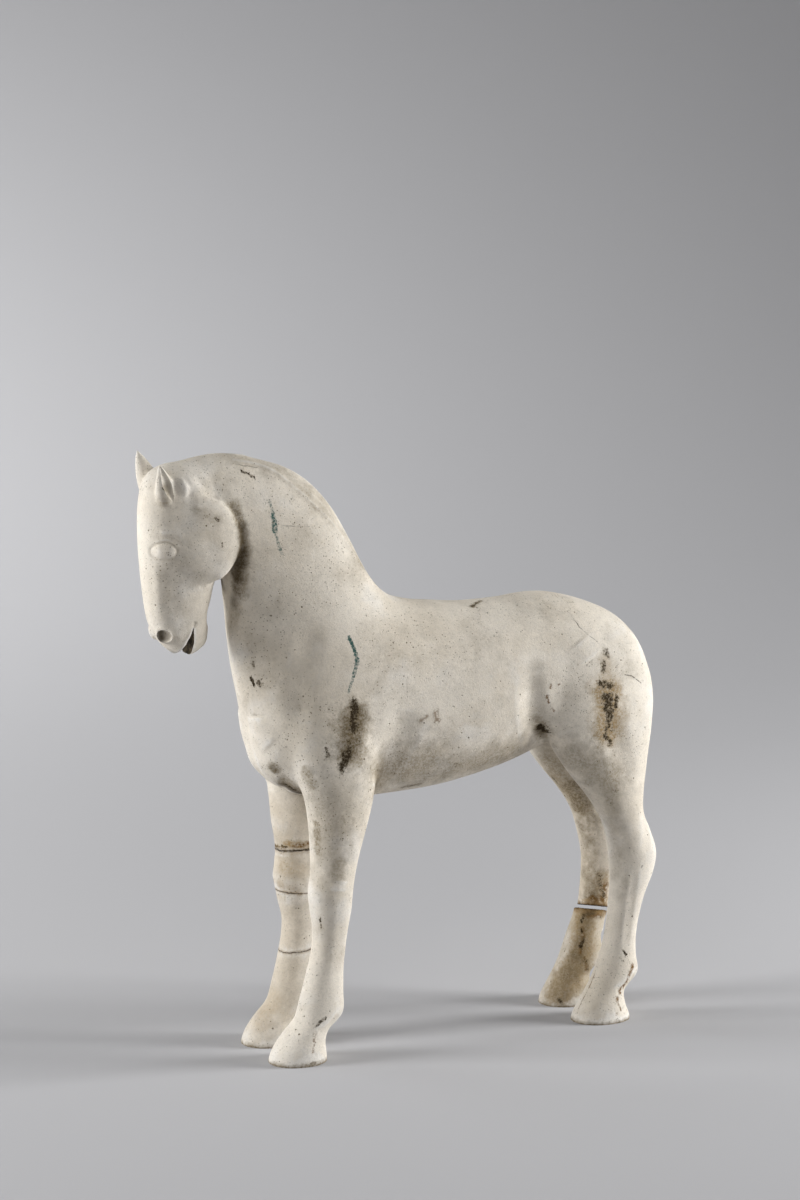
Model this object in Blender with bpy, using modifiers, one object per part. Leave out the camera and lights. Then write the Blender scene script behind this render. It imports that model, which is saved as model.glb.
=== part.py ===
"""A standing pottery horse, facing -X, with its left side towards -Y and its soles on z = 0.

It is one solid with three whole legs and a broken stump, and the lower part of the right hind leg
is a piece of its own that stands under the stump.
"""

import math

import bmesh
import bpy
from mathutils import Vector

for old in list(bpy.data.objects):
    bpy.data.objects.remove(old, do_unlink=True)

# Driving dimensions, in metres.
HEIGHT = 0.560  # soles to the tip of the right ear
BREAK_GAP = 0.0036  # between the stump and the broken lower leg
BREAK_SLIP = 0.0030  # how far forward the broken piece stands
CRACK_WIDTH = 0.0012  # the open repair on the right foreleg
HAIRLINE_WIDTH = 0.0007  # the two finer repairs below it
CRACK_DEPTH = 0.0014
CHANNEL_WIDTH = 0.0125  # the slot along the crest that held a mane
CHANNEL_DEPTH = 0.0032

# Every proportion below is in 560ths of the height, in a frame with its origin
# midway between the four hooves.
U = HEIGHT / 560.0
MIDDLE = -36.7  # the middle of the length, which becomes x = 0
LEG_OUT = 33.0  # from the middle plane to a leg
VOXEL = 2.5  # how finely the limbs are joined
FACES = 7350  # in the joined skin, before it is carved

# Rows of a loft, each one section: front or top end (x, z), rear or lower end (x, z),
# half width, how far outside LEG_OUT its middle is, squareness, and how much wider it is
# towards the first end. The trunk and the head stay on the middle plane.
BODY = [
    (-262, 549, -244, 492, 15, 0, 2.0, 0.00),
    (-240, 555, -222, 470, 22, 0, 2.0, -0.05),
    (-214, 556.5, -211, 440, 26, 0, 2.0, -0.08),
    (-186, 553, -209, 414, 28.5, 0, 2.0, -0.10),
    (-158, 546, -208, 390, 31, 0, 2.0, -0.10),
    (-133, 531, -205, 364, 34.5, 0, 2.0, -0.10),
    (-111, 507.5, -200, 338, 39.5, 0, 2.0, -0.10),
    (-92, 475, -194.5, 314, 46, 0, 2.05, -0.08),
    (-74, 441, -190.5, 291, 52, 0, 2.15, -0.04),
    (-56, 422, -182, 266, 56, 0, 2.2, 0.00),
    (-32, 414, -150, 243, 57, 0, 2.2, 0.00),
    (-6, 411, -100, 234.5, 56, 0, 2.2, 0.00),
    (20, 408.5, -52, 235, 56.5, 0, 2.2, 0.00),
    (44, 408.5, -8, 238, 57, 0, 2.2, 0.00),
    (67, 409.5, 32, 245, 56, 0, 2.2, 0.00),
    (90, 412, 68, 254, 54, 0, 2.2, 0.02),
    (112, 411.5, 100, 266, 54, 0, 2.2, 0.04),
    (136, 406.5, 132, 280, 56, 0, 2.2, 0.00),
    (158, 399, 158, 292, 56, 0, 2.3, -0.04),
    (178, 389, 178, 300, 53.5, 0, 2.4, -0.06),
    (194, 373, 195, 310, 46, 0, 2.4, -0.06),
    (203.5, 355, 205, 326, 33, 0, 2.2, 0.00),
]
HEAD = [
    (-266, 550, -238, 551, 9, 0, 2.0, 0.00),
    (-280, 543.5, -226, 542, 19, 0, 2.1, 0.00),
    (-288.5, 531, -219, 528, 25, 0, 2.3, -0.05),
    (-291.5, 508, -216, 505, 29.5, 0, 2.5, -0.08),
    (-291.5, 482, -215, 480, 31, 0, 2.5, -0.08),
    (-290.5, 458, -220, 456, 28, 0, 2.4, -0.06),
    (-288.5, 437, -226, 436, 23.5, 0, 2.5, -0.02),
    (-286.5, 420, -228.5, 416, 20.5, 0, 2.5, 0.00),
    (-283.5, 407, -229.5, 402, 19, 0, 2.4, 0.06),
    (-277.5, 395.5, -231, 391, 17.5, 0, 2.3, 0.10),
    (-269.5, 385.5, -236.5, 383, 14.5, 0, 2.2, 0.08),
    (-261, 379, -244, 378.5, 9, 0, 2.0, 0.00),
]
FORE = [
    (-146, 372, -92, 372, 12, -3, 2.0, 0.0),
    (-162, 345, -80, 345, 20, 0, 2.1, 0.0),
    (-168, 318, -75, 318, 23.5, 1.5, 2.2, 0.0),
    (-166, 292, -75, 292, 25, 2.5, 2.2, 0.0),
    (-159, 267, -79, 266, 25.5, 2.5, 2.2, 0.0),
    (-149, 243, -84, 240, 24.5, 2, 2.2, 0.0),
    (-144.5, 217, -90, 215, 23, 1, 2.1, 0.0),
    (-142.5, 190, -97, 189, 21, 0, 2.1, 0.0),
    (-142.5, 172, -101, 171, 19.5, 0, 2.1, 0.0),
    (-145, 154, -103.5, 154, 19.5, 0, 2.1, 0.0),
    (-143, 137, -105, 138, 18, 0, 2.1, 0.0),
    (-141, 120, -108, 121, 15.5, 0, 2.1, 0.0),
    (-142.5, 100, -110.5, 103, 14.5, 0, 2.1, 0.0),
    (-147.5, 80, -112.5, 84, 14.8, 0, 2.1, 0.0),
    (-153.5, 58, -113, 63, 16.5, 0, 2.1, 0.0),
    (-159.5, 38, -113.5, 43, 18.5, 0, 2.1, 0.0),
    (-171.5, 24, -127, 30, 19.5, 0, 2.1, 0.0),
    (-180, 12, -131.5, 19, 22, 0, 2.1, 0.0),
    (-184, 3, -130.5, 5, 23.5, 0, 2.1, 0.0),
    (-185, -6, -130, -6, 24, 0, 2.1, 0.0),
]
HIND = [
    (104, 392, 160, 386, 12, -9, 2.0, 0.0),
    (90, 368, 190, 366, 21, -4, 2.1, 0.0),
    (83, 343, 205, 341, 26.5, -2, 2.2, 0.0),
    (84, 316, 210, 316, 28.5, -1, 2.2, 0.0),
    (93, 290, 208.5, 292, 28, 0, 2.2, 0.0),
    (107, 264, 205, 266, 26, 0, 2.2, 0.0),
    (124, 240, 202, 240, 23.5, 0, 2.1, 0.0),
    (144, 216, 199.5, 217, 21, 0, 2.1, 0.0),
    (158, 194, 200, 199, 19.5, 0, 2.1, 0.0),
    (164.5, 175, 208, 180, 19, 0, 2.1, 0.0),
    (167, 158, 214.5, 160, 18.5, 0, 2.1, 0.0),
    (168.5, 141, 211.5, 141, 17.5, 0, 2.1, 0.0),
    (168, 122, 203, 121, 16, 0, 2.1, 0.0),
    (166, 101, 197, 101, 15, 0, 2.1, 0.0),
    (163, 80, 193.5, 81, 15, 0, 2.1, 0.0),
    (157.5, 60, 193.5, 61, 16.5, 0, 2.1, 0.0),
    (149.5, 40, 195.5, 44, 18, 0, 2.1, 0.0),
    (141, 24, 181, 29, 19, 0, 2.1, 0.0),
    (133, 11, 182, 14, 22, 0, 2.1, 0.0),
    (129, 3, 186, 4, 23.5, 0, 2.1, 0.0),
    (128, -6, 187, -6, 24, 0, 2.1, 0.0),
]
# The right legs differ a little: (z, shift in x) of the foreleg and of the hind leg.
FORE_SHIFT = [(400, 0), (290, -2), (250, -7), (210, -9), (185, -7), (160, -6), (135, -5), (110, -2), (60, 0), (-10, 0)]
HIND_SHIFT = [(400, 0), (230, 0), (180, 2), (140, 5), (95, 5), (60, 1), (-10, 3)]
BREAK_AT = (180, LEG_OUT, 91.5)  # the middle of the break
BREAK_SLOPE = (-0.20, -0.205)  # its fall along x and y
CRACKS = [(184.5, 0.10, CRACK_WIDTH), (142.5, -0.05, HAIRLINE_WIDTH), (86.0, 0.04, HAIRLINE_WIDTH)]
# The slot's line along the crest (x, z), from behind the poll to the withers.
CREST = [(-196, 556), (-176, 550.5), (-156, 542.5), (-135, 528), (-114, 505), (-94, 474.5), (-76, 445), (-60, 428)]


def between(rows, steps):
    """The rows, with steps - 1 more between each pair, on a smooth curve through them."""
    out = []
    last = len(rows) - 1
    for i in range(last):
        four = [rows[max(i - 1, 0)], rows[i], rows[i + 1], rows[min(i + 2, last)]]
        for k in range(steps):
            t = k / steps
            row = []
            for a, b, c, d in zip(*four):
                bend = (2 * a - 5 * b + 4 * c - d) * t * t + (3 * b - a - 3 * c + d) * t**3
                row.append(0.5 * (2 * b + (c - a) * t + bend))
            out.append(tuple(row))
    out.append(tuple(rows[last]))
    return out


def power(value, n):
    return math.copysign(abs(value) ** (2.0 / n), value)


def pour(piece, bm):
    """Adds a finished closed piece to bm, with its faces turned outward."""
    bmesh.ops.recalc_face_normals(piece, faces=piece.faces)
    if piece.calc_volume(signed=True) < 0:
        bmesh.ops.reverse_faces(piece, faces=piece.faces)
    mesh = bpy.data.meshes.new("piece")
    piece.to_mesh(mesh)
    piece.free()
    bm.from_mesh(mesh)
    bpy.data.meshes.remove(mesh)


def skin(bm, rings):
    """Adds a closed skin over rings of points."""
    piece = bmesh.new()
    made = []
    for points in rings:
        verts = bmesh.ops.create_circle(piece, segments=len(points), radius=1.0)["verts"]
        for vert, point in zip(verts, points):
            vert.co = Vector(point) * U
        made.append(verts)
    loops = [list({e for v in verts for e in v.link_edges}) for verts in made]
    for first, second in zip(loops, loops[1:]):
        bmesh.ops.bridge_loops(piece, edges=first + second)
    bmesh.ops.contextual_create(piece, geom=made[0])
    bmesh.ops.contextual_create(piece, geom=made[-1])
    pour(piece, bm)


def hoop(bm, deep, high, place):
    """Adds a thin flat hoop, from deep inside a skin to 9 outside it. place puts (turn, inset, rise) in space."""
    piece = bmesh.new()
    made = bmesh.ops.create_circle(piece, segments=4, radius=1.0)["verts"]
    for vert, (inset, rise) in zip(made, ((-deep, -high), (9.0, -high), (9.0, high), (-deep, high))):
        vert.co = (100 + inset, 0, rise)
    profile = made + list({e for v in made for e in v.link_edges})
    bmesh.ops.spin(piece, geom=profile, cent=(0, 0, 0), axis=(0, 0, 1), angle=2 * math.pi, steps=28, use_merge=True)
    for vert in piece.verts:
        turn = math.atan2(vert.co.y, vert.co.x)
        inset = math.hypot(vert.co.x, vert.co.y) - 100
        vert.co = Vector(place(turn, inset, vert.co.z)) * U
    pour(piece, bm)


def loft(bm, rows, side=1, out=0.0, steps=3, around=36, shift=()):
    """One limb or trunk, out from the middle plane. side -1 puts it on the right side of the horse."""
    rings = []
    for ax, az, bx, bz, half, mid, n, widen in between(rows, steps):
        ring = []
        for k in range(around):
            turn = 2 * math.pi * k / around
            along = power(math.cos(turn), n)
            across = power(math.sin(turn), n) * half * (1 + widen * along)
            x = (ax + bx) / 2 + (ax - bx) / 2 * along
            z = (az + bz) / 2 + (az - bz) / 2 * along
            ring.append((x + moved(shift, z), -side * (out + mid + across), z))
        rings.append(ring)
    skin(bm, rings)


def moved(shift, z):
    """The shift in x at this height, from a falling list of (z, shift)."""
    for (high, a), (low, b) in zip(shift, shift[1:]):
        if low <= z <= high:
            t = (z - low) / (high - low)
            t = t * t * (3 - 2 * t)
            return b + (a - b) * t
    return 0.0


def bar(bm, stations, around=24):
    """A skin along stations of (centre, first half axis, second half axis), all vectors."""
    rings = []
    for centre, first, second in stations:
        ring = []
        for k in range(around):
            turn = 2 * math.pi * k / around
            ring.append(Vector(centre) + Vector(first) * math.cos(turn) + Vector(second) * math.sin(turn))
        rings.append(ring)
    skin(bm, rings)


def dome(bm, centre, radii, turn_z=0.0, tilt=0.0):
    """An ellipsoid, turned about z after a tilt about y."""
    piece = bmesh.new()
    for vert in bmesh.ops.create_uvsphere(piece, u_segments=16, v_segments=10, radius=1.0)["verts"]:
        x, y, z = (c * r for c, r in zip(vert.co, radii))
        x, z = x * math.cos(tilt) + z * math.sin(tilt), z * math.cos(tilt) - x * math.sin(tilt)
        x, y = x * math.cos(turn_z) - y * math.sin(turn_z), x * math.sin(turn_z) + y * math.cos(turn_z)
        vert.co = (Vector((x, y, z)) + Vector(centre)) * U
    pour(piece, bm)


def cheek(bm, side):
    """The round jaw plate. Its front sinks into the head, and its rear edge stands out firmly."""
    rings = []
    for y, radius in ((8, 32), (18, 36.5), (24, 38.5), (28, 38.2), (31, 35.5), (32.8, 29), (33.8, 18), (34, 5)):
        ring = []
        for k in range(40):
            turn = 2 * math.pi * k / 40
            x = radius * math.cos(turn)
            z = radius * 1.05 * math.sin(turn)
            front = min(1.0, max(0.0, (22 - x) / 30))
            sink = 0.012 * min(0.0, x) ** 2 + front * (0.004 * max(0.0, z - 10) ** 2 + 0.011 * min(0.0, z + 12) ** 2)
            ring.append((x - 246, side * -(y - sink), z + 482))
        rings.append(ring)
    skin(bm, rings)


def ear(bm, side, base, tip, hollow):
    """A leaf-shaped ear. hollow makes the smaller leaf that is cut from its outer face."""
    base = Vector(base)
    tip = Vector(tip)
    axis = (tip - base).normalized()
    facing = Vector((math.cos(math.radians(80)), math.sin(math.radians(80)) * -side, 0.0))
    facing = (facing - axis * facing.dot(axis)).normalized()
    wide = axis.cross(facing).normalized()
    stations = []
    for t, a, b in ((0.0, 10.5, 7.5), (0.25, 10.5, 7.0), (0.5, 9.0, 5.8), (0.75, 5.6, 4.0), (0.92, 2.4, 2.0), (1.0, 0.8, 0.8)):
        if hollow:
            if t == 0.0 or t > 0.95:
                continue
            centre = base + (tip - base) * t + facing * (b * 0.95)
            stations.append((centre, wide * a * 0.50, facing * b * 0.85))
        else:
            stations.append((base + (tip - base) * t, wide * a, facing * b))
    bar(bm, stations)


LEFT_EAR = ((-264, -17, 516), (-281, -22, 551))
RIGHT_EAR = ((-266, 17, 520), (-285.5, 22, 560.6))


def mesh_object(name, bm):
    mesh = bpy.data.meshes.new(name)
    bm.to_mesh(mesh)
    bm.free()
    made = bpy.data.objects.new(name, mesh)
    bpy.context.scene.collection.objects.link(made)
    return made


def apply(obj):
    """Puts the object's modifiers into its mesh."""
    graph = bpy.context.evaluated_depsgraph_get()
    mesh = bpy.data.meshes.new_from_object(obj.evaluated_get(graph))
    obj.modifiers.clear()
    old_mesh = obj.data
    obj.data = mesh
    bpy.data.meshes.remove(old_mesh)


def soften(obj, spots, times, factor=0.5):
    """Smooths the skin, most at the spots of (x, y, z, radius, weight). No spots means all of it."""
    smooth = obj.modifiers.new("smooth", "SMOOTH")
    smooth.factor = factor
    smooth.iterations = times
    if spots:
        group = obj.vertex_groups.new(name="soft")
        for vert in obj.data.vertices:
            weight = 0.0
            for x, y, z, radius, most in spots:
                here = vert.co / U
                away = math.hypot(here.x - x, abs(here.y) - y, here.z - z) / radius
                weight = max(weight, most * max(0.0, 1.0 - away * away))
            if weight > 0.01:
                group.add([vert.index], min(1.0, weight), "REPLACE")
        smooth.vertex_group = "soft"
    apply(obj)
    obj.vertex_groups.clear()


bm = bmesh.new()
loft(bm, BODY, around=48)
loft(bm, HEAD, around=40)
for side in (1, -1):
    loft(bm, FORE, side, LEG_OUT, shift=FORE_SHIFT if side < 0 else ())
    loft(bm, HIND, side, LEG_OUT, shift=HIND_SHIFT if side < 0 else ())
    cheek(bm, side)
    # The brow, the eye and the swelling behind the ear.
    dome(bm, (-271, side * -20.5, 489), (14, 7, 5.5), side * -0.47)
    dome(bm, (-275.5, side * -21.5, 474.5), (11, 6.2, 8), side * -0.47)
    dome(bm, (-252, side * -14.5, 528), (13, 12.5, 15))
    # The nostril's raised edge.
    dome(bm, (-273, side * -10.5, 399.5), (8, 8, 8.5))
ear(bm, 1, *LEFT_EAR, False)
ear(bm, -1, *RIGHT_EAR, False)
horse = mesh_object("horse", bm)

remesh = horse.modifiers.new("union", "REMESH")
remesh.mode = "VOXEL"
remesh.voxel_size = VOXEL * U
apply(horse)

# Where limbs run into the body: (x, y, z, radius, weight), on both sides.
BLENDS = [
    (-165, 38, 312, 62, 1.0),
    (-112, 56, 335, 70, 1.0),
    (-80, 52, 300, 48, 0.9),
    (85, 50, 325, 62, 1.0),
    (150, 48, 368, 70, 1.0),
    (200, 20, 330, 60, 1.0),
    (-246, 8, 545, 26, 0.5),
    (-250, 24, 444, 24, 1.0),
]
soften(horse, [], 2)
soften(horse, BLENDS, 90)

# Fewer faces, most of them kept on the head.
group = horse.vertex_groups.new(name="plain")
head = [v.index for v in horse.data.vertices if v.co.x / U < -205 and v.co.z / U > 370]
body = set(range(len(horse.data.vertices))) - set(head)
group.add(head, 0.2, "REPLACE")
group.add(list(body), 1.0, "REPLACE")
cut = horse.modifiers.new("fewer", "DECIMATE")
cut.vertex_group = "plain"
cut.vertex_group_factor = 0.001
cut.ratio = FACES / (2.0 * len(horse.data.polygons))
apply(horse)
horse.vertex_groups.clear()

# What is carved into the skin, each cutter a closed mesh of its own.
cutters = []
bm = bmesh.new()
rings = []
radius = (CHANNEL_WIDTH**2 / 4 + CHANNEL_DEPTH**2) / (2 * CHANNEL_DEPTH) / U
line = between([(x, z, 0.0) for x, z in CREST], 2)
for i, (x, z, _) in enumerate(line):
    before = line[max(i - 1, 0)]
    after = line[min(i + 1, len(line) - 1)]
    along = Vector((after[0] - before[0], 0, after[1] - before[1])).normalized()
    out = along.cross(Vector((0, 1, 0)))
    if out.z < 0:
        out = -out
    end = min(i, len(line) - 1 - i)
    lift = radius - CHANNEL_DEPTH / U + (3.0, 1.0, 0.2)[min(end, 2)]
    rings.append((Vector((x, 0, z)) + out * lift, out * radius, Vector((0, radius, 0))))
bar(bm, rings, 20)
cutters.append(mesh_object("channel", bm))
# The mouth, open at the bottom.
bm = bmesh.new()
mouth = [(-248.5, 405), (-263.5, 377), (-262, 365), (-251, 365), (-249.5, 377)]
skin(bm, [[(x, y, z) for x, z in mouth] for y in (-30, 30)])
cutters.append(mesh_object("mouth", bm))
for side, place in ((1, LEFT_EAR), (-1, RIGHT_EAR)):
    bm = bmesh.new()
    dome(bm, (-276.5, side * -16.5, 396.5), (8.0, 5.6, 6.6), side * -0.5, 0.3)
    cutters.append(mesh_object("nostril", bm))
    bm = bmesh.new()
    ear(bm, side, *place, True)
    cutters.append(mesh_object("ear_hollow", bm))
# The repairs round the right foreleg, each a thin hoop.
for level, tilt, width in CRACKS:
    row = min(between(FORE, 6), key=lambda r: abs((r[1] + r[3]) / 2 - level))
    middle = (row[0] + row[2]) / 2 + moved(FORE_SHIFT, level)
    long, half = abs(row[0] - row[2]) / 2, row[4]

    def place(turn, inset, rise):
        along = math.cos(turn) * (long + inset)
        wave = 0.5 * math.sin(3 * turn + level) + 0.3 * math.sin(5 * turn)
        return middle + along, LEG_OUT + math.sin(turn) * (half + inset), level + rise + along * tilt + wave

    bm = bmesh.new()
    hoop(bm, CRACK_DEPTH / U, width / U / 2, place)
    cutters.append(mesh_object("crack", bm))
# The break, a thin uneven slab through the right hind leg.
bm = bmesh.new()
rings = []
gap = BREAK_GAP / U / 2
for k in range(9):
    y = LEG_OUT - 30 + 60 * k / 8
    rough = 0.35 * math.sin(k * 2.1)
    below = [(145, -gap + rough), (168, -gap - 0.5 * rough), (186, -gap + 0.25), (225, -gap - rough)]
    above = [(225, gap - rough), (190, gap - 0.2), (172, gap + 0.8 * rough), (145, gap + rough)]
    ring = []
    for x, rise in below + above:
        fall = BREAK_SLOPE[0] * (x - BREAK_AT[0]) + BREAK_SLOPE[1] * (y - BREAK_AT[1])
        ring.append((x, y, BREAK_AT[2] + fall + rise))
    rings.append(ring)
skin(bm, rings)
cutters.append(mesh_object("break", bm))
for cutter in cutters:
    carve = horse.modifiers.new(cutter.name, "BOOLEAN")
    carve.operation = "DIFFERENCE"
    carve.solver = "EXACT"
    carve.object = cutter
apply(horse)
for cutter in cutters:
    bpy.data.objects.remove(cutter, do_unlink=True)

# Flat soles on z = 0, and the middle of the length at x = 0.
bm = bmesh.new()
bm.from_mesh(horse.data)
everything = bm.verts[:] + bm.edges[:] + bm.faces[:]
bmesh.ops.bisect_plane(bm, geom=everything, dist=1e-6, plane_co=(0, 0, 0), plane_no=(0, 0, -1), clear_outer=True)
bmesh.ops.holes_fill(bm, edges=[e for e in bm.edges if e.is_boundary], sides=0)
bmesh.ops.triangulate(bm, faces=bm.faces)
bmesh.ops.translate(bm, verts=bm.verts, vec=(-MIDDLE * U, 0, 0))
bm.verts.ensure_lookup_table()


def island(start):
    """All points joined to start."""
    found = {start}
    waiting = [start]
    while waiting:
        for edge in waiting.pop().link_edges:
            for vert in edge.verts:
                if vert not in found:
                    found.add(vert)
                    waiting.append(vert)
    return found


main = island(max(bm.verts, key=lambda v: v.co.z))
loose = [v for v in bm.verts if v not in main]
lower = bm.copy()
lower.verts.ensure_lookup_table()
bmesh.ops.delete(lower, geom=[lower.verts[v.index] for v in main], context="VERTS")
bmesh.ops.translate(lower, verts=lower.verts, vec=(-BREAK_SLIP, 0, 0))
bmesh.ops.delete(bm, geom=loose, context="VERTS")
bm.to_mesh(horse.data)
bm.free()
hoof = mesh_object("broken_hind_hoof", lower)


def paint(obj, name, colour):
    material = bpy.data.materials.new(name)
    material.use_nodes = True
    shader = material.node_tree.nodes["Principled BSDF"]
    shader.inputs["Base Color"].default_value = (*colour, 1.0)
    shader.inputs["Roughness"].default_value = 0.85
    material.diffuse_color = (*colour, 1.0)
    obj.data.materials.clear()
    obj.data.materials.append(material)


paint(horse, "white slip", (0.56, 0.51, 0.44))
paint(hoof, "worn slip", (0.50, 0.44, 0.35))
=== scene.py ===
"""A standing pottery horse with a white slip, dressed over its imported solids.

It faces -X, its left side is towards -Y and its soles stand on z = 0. The body is shaped again, finer
than the solids: trunk, head and limbs are joined into one skin, creases are pressed into it, and then
the slot for the mane, the mouth, the nostrils, the ears, the repairs and the break are cut.
"""

import math

import bmesh
import bpy
import numpy as np
from mathutils import Euler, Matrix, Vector
from mathutils.bvhtree import BVHTree


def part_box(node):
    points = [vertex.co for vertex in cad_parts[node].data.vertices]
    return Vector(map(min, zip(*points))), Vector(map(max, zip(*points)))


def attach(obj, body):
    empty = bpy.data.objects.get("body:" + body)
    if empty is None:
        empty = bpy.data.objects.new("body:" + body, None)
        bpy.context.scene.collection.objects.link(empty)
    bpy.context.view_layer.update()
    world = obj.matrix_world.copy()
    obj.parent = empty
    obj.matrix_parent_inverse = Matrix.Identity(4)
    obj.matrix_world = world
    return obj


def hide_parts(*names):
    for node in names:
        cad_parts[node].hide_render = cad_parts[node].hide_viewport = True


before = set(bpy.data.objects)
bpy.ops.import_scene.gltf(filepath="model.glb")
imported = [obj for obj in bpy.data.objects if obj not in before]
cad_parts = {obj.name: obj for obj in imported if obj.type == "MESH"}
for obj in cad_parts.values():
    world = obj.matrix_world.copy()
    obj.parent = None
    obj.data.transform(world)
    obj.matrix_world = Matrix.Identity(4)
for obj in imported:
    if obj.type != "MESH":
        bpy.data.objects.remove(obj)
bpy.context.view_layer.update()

# Every proportion below is in 560ths of the horse's height, in a frame with its origin
# midway between the four hooves. The frame's horse is 559.8 of them high.
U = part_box("horse")[1].z / 559.8
MIDDLE = -36.7  # the middle of the length, which becomes x = 0
LEG_OUT = 33.0  # from the middle plane to a leg
CLAY_GRAIN = 1.5  # how finely the limbs are joined
JOIN_ROUNDS = 250  # how often the places where limbs run into the body are smoothed
SKIN_FACES = 190000  # triangles in the skin before it is cut
BREAK_GAP = 3.6
BREAK_SLIP = 3.0  # how far forward the broken piece stands
CRACK_DEPTH = 1.6
CHANNEL_WIDTH = 12.5  # the slot along the crest that held a mane
CHANNEL_DEPTH = 3.2
HEAD_REAR = -208  # the head lies before this x
HEAD_FOOT = 368  # and above this height
SHARP_EDGE = math.radians(50)

# Rows of a loft, each one section: front or top end (x, z), rear or lower end (x, z),
# half width, how far outside LEG_OUT its middle is, squareness, and how much wider it is
# towards the first end. The trunk and the head stay on the middle plane.
BODY = [
    (-262, 549, -244, 492, 15, 0, 2.0, 0.00),
    (-240, 555, -222, 470, 22, 0, 2.0, -0.05),
    (-214, 556.5, -211, 440, 26, 0, 2.0, -0.08),
    (-186, 553, -209, 414, 28.5, 0, 2.0, -0.10),
    (-158, 546, -208, 390, 31, 0, 2.0, -0.10),
    (-133, 531, -205, 364, 34.5, 0, 2.0, -0.10),
    (-111, 507.5, -200, 338, 39.5, 0, 2.0, -0.10),
    (-92, 475, -194.5, 314, 46, 0, 2.05, -0.08),
    (-74, 441, -190.5, 291, 52, 0, 2.15, -0.04),
    (-56, 422, -182, 266, 56, 0, 2.2, 0.00),
    (-32, 414, -150, 243, 57, 0, 2.2, 0.00),
    (-6, 411, -100, 234.5, 56, 0, 2.2, 0.00),
    (20, 408.5, -52, 235, 56.5, 0, 2.2, 0.00),
    (44, 408.5, -8, 238, 57, 0, 2.2, 0.00),
    (67, 409.5, 32, 245, 56, 0, 2.2, 0.00),
    (90, 412, 68, 254, 54, 0, 2.2, 0.02),
    (112, 411.5, 100, 266, 54, 0, 2.2, 0.04),
    (136, 406.5, 132, 280, 56, 0, 2.2, 0.00),
    (158, 399, 158, 292, 56, 0, 2.3, -0.04),
    (178, 389, 178, 300, 53.5, 0, 2.4, -0.06),
    (194, 373, 195, 310, 46, 0, 2.4, -0.06),
    (203.5, 355, 205, 326, 33, 0, 2.2, 0.00),
]
HEAD = [
    (-266, 550, -238, 551, 9, 0, 2.0, 0.00),
    (-280, 543.5, -226, 542, 19, 0, 2.1, 0.00),
    (-288.5, 531, -219, 528, 25, 0, 2.3, -0.05),
    (-291.5, 508, -216, 505, 29.5, 0, 2.5, -0.08),
    (-291.5, 482, -215, 480, 31, 0, 2.5, -0.08),
    (-290.5, 458, -220, 456, 28, 0, 2.4, -0.06),
    (-288.5, 437, -226, 436, 23.5, 0, 2.5, -0.02),
    (-286.5, 420, -228.5, 416, 20.5, 0, 2.5, 0.00),
    (-283.5, 407, -229.5, 402, 19, 0, 2.4, 0.06),
    (-277.5, 395.5, -231, 391, 17.5, 0, 2.3, 0.10),
    (-269.5, 385.5, -236.5, 383, 14.5, 0, 2.2, 0.08),
    (-261, 379, -244, 378.5, 9, 0, 2.0, 0.00),
]
FORE = [
    (-146, 372, -92, 372, 12, -3, 2.0, 0.0),
    (-162, 345, -80, 345, 20, 0, 2.1, 0.0),
    (-168, 318, -75, 318, 23.5, 1.5, 2.2, 0.0),
    (-166, 292, -75, 292, 25, 2.5, 2.2, 0.0),
    (-159, 267, -79, 266, 25.5, 2.5, 2.2, 0.0),
    (-149, 243, -84, 240, 24.5, 2, 2.2, 0.0),
    (-144.5, 217, -90, 215, 23, 1, 2.1, 0.0),
    (-142.5, 190, -97, 189, 21, 0, 2.1, 0.0),
    (-142.5, 172, -101, 171, 19.5, 0, 2.1, 0.0),
    (-145, 154, -103.5, 154, 19.5, 0, 2.1, 0.0),
    (-143, 137, -105, 138, 18, 0, 2.1, 0.0),
    (-141, 120, -108, 121, 15.5, 0, 2.1, 0.0),
    (-142.5, 100, -110.5, 103, 14.5, 0, 2.1, 0.0),
    (-147.5, 80, -112.5, 84, 14.8, 0, 2.1, 0.0),
    (-153.5, 58, -113, 63, 16.5, 0, 2.1, 0.0),
    (-159.5, 38, -113.5, 43, 18.5, 0, 2.1, 0.0),
    (-171.5, 24, -127, 30, 19.5, 0, 2.1, 0.0),
    (-180, 12, -131.5, 19, 22, 0, 2.1, 0.0),
    (-184, 3, -130.5, 5, 23.5, 0, 2.1, 0.0),
    (-185, -6, -130, -6, 24, 0, 2.1, 0.0),
]
HIND = [
    (104, 392, 160, 386, 12, -9, 2.0, 0.0),
    (90, 368, 190, 366, 21, -4, 2.1, 0.0),
    (83, 343, 205, 341, 26.5, -2, 2.2, 0.0),
    (84, 316, 210, 316, 28.5, -1, 2.2, 0.0),
    (93, 290, 208.5, 292, 28, 0, 2.2, 0.0),
    (107, 264, 205, 266, 26, 0, 2.2, 0.0),
    (124, 240, 202, 240, 23.5, 0, 2.1, 0.0),
    (144, 216, 199.5, 217, 21, 0, 2.1, 0.0),
    (158, 194, 200, 199, 19.5, 0, 2.1, 0.0),
    (164.5, 175, 208, 180, 19, 0, 2.1, 0.0),
    (167, 158, 214.5, 160, 18.5, 0, 2.1, 0.0),
    (168.5, 141, 211.5, 141, 17.5, 0, 2.1, 0.0),
    (168, 122, 203, 121, 16, 0, 2.1, 0.0),
    (166, 101, 197, 101, 15, 0, 2.1, 0.0),
    (163, 80, 193.5, 81, 15, 0, 2.1, 0.0),
    (157.5, 60, 193.5, 61, 16.5, 0, 2.1, 0.0),
    (149.5, 40, 195.5, 44, 18, 0, 2.1, 0.0),
    (141, 24, 181, 29, 19, 0, 2.1, 0.0),
    (133, 11, 182, 14, 22, 0, 2.1, 0.0),
    (129, 3, 186, 4, 23.5, 0, 2.1, 0.0),
    (128, -6, 187, -6, 24, 0, 2.1, 0.0),
]
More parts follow.
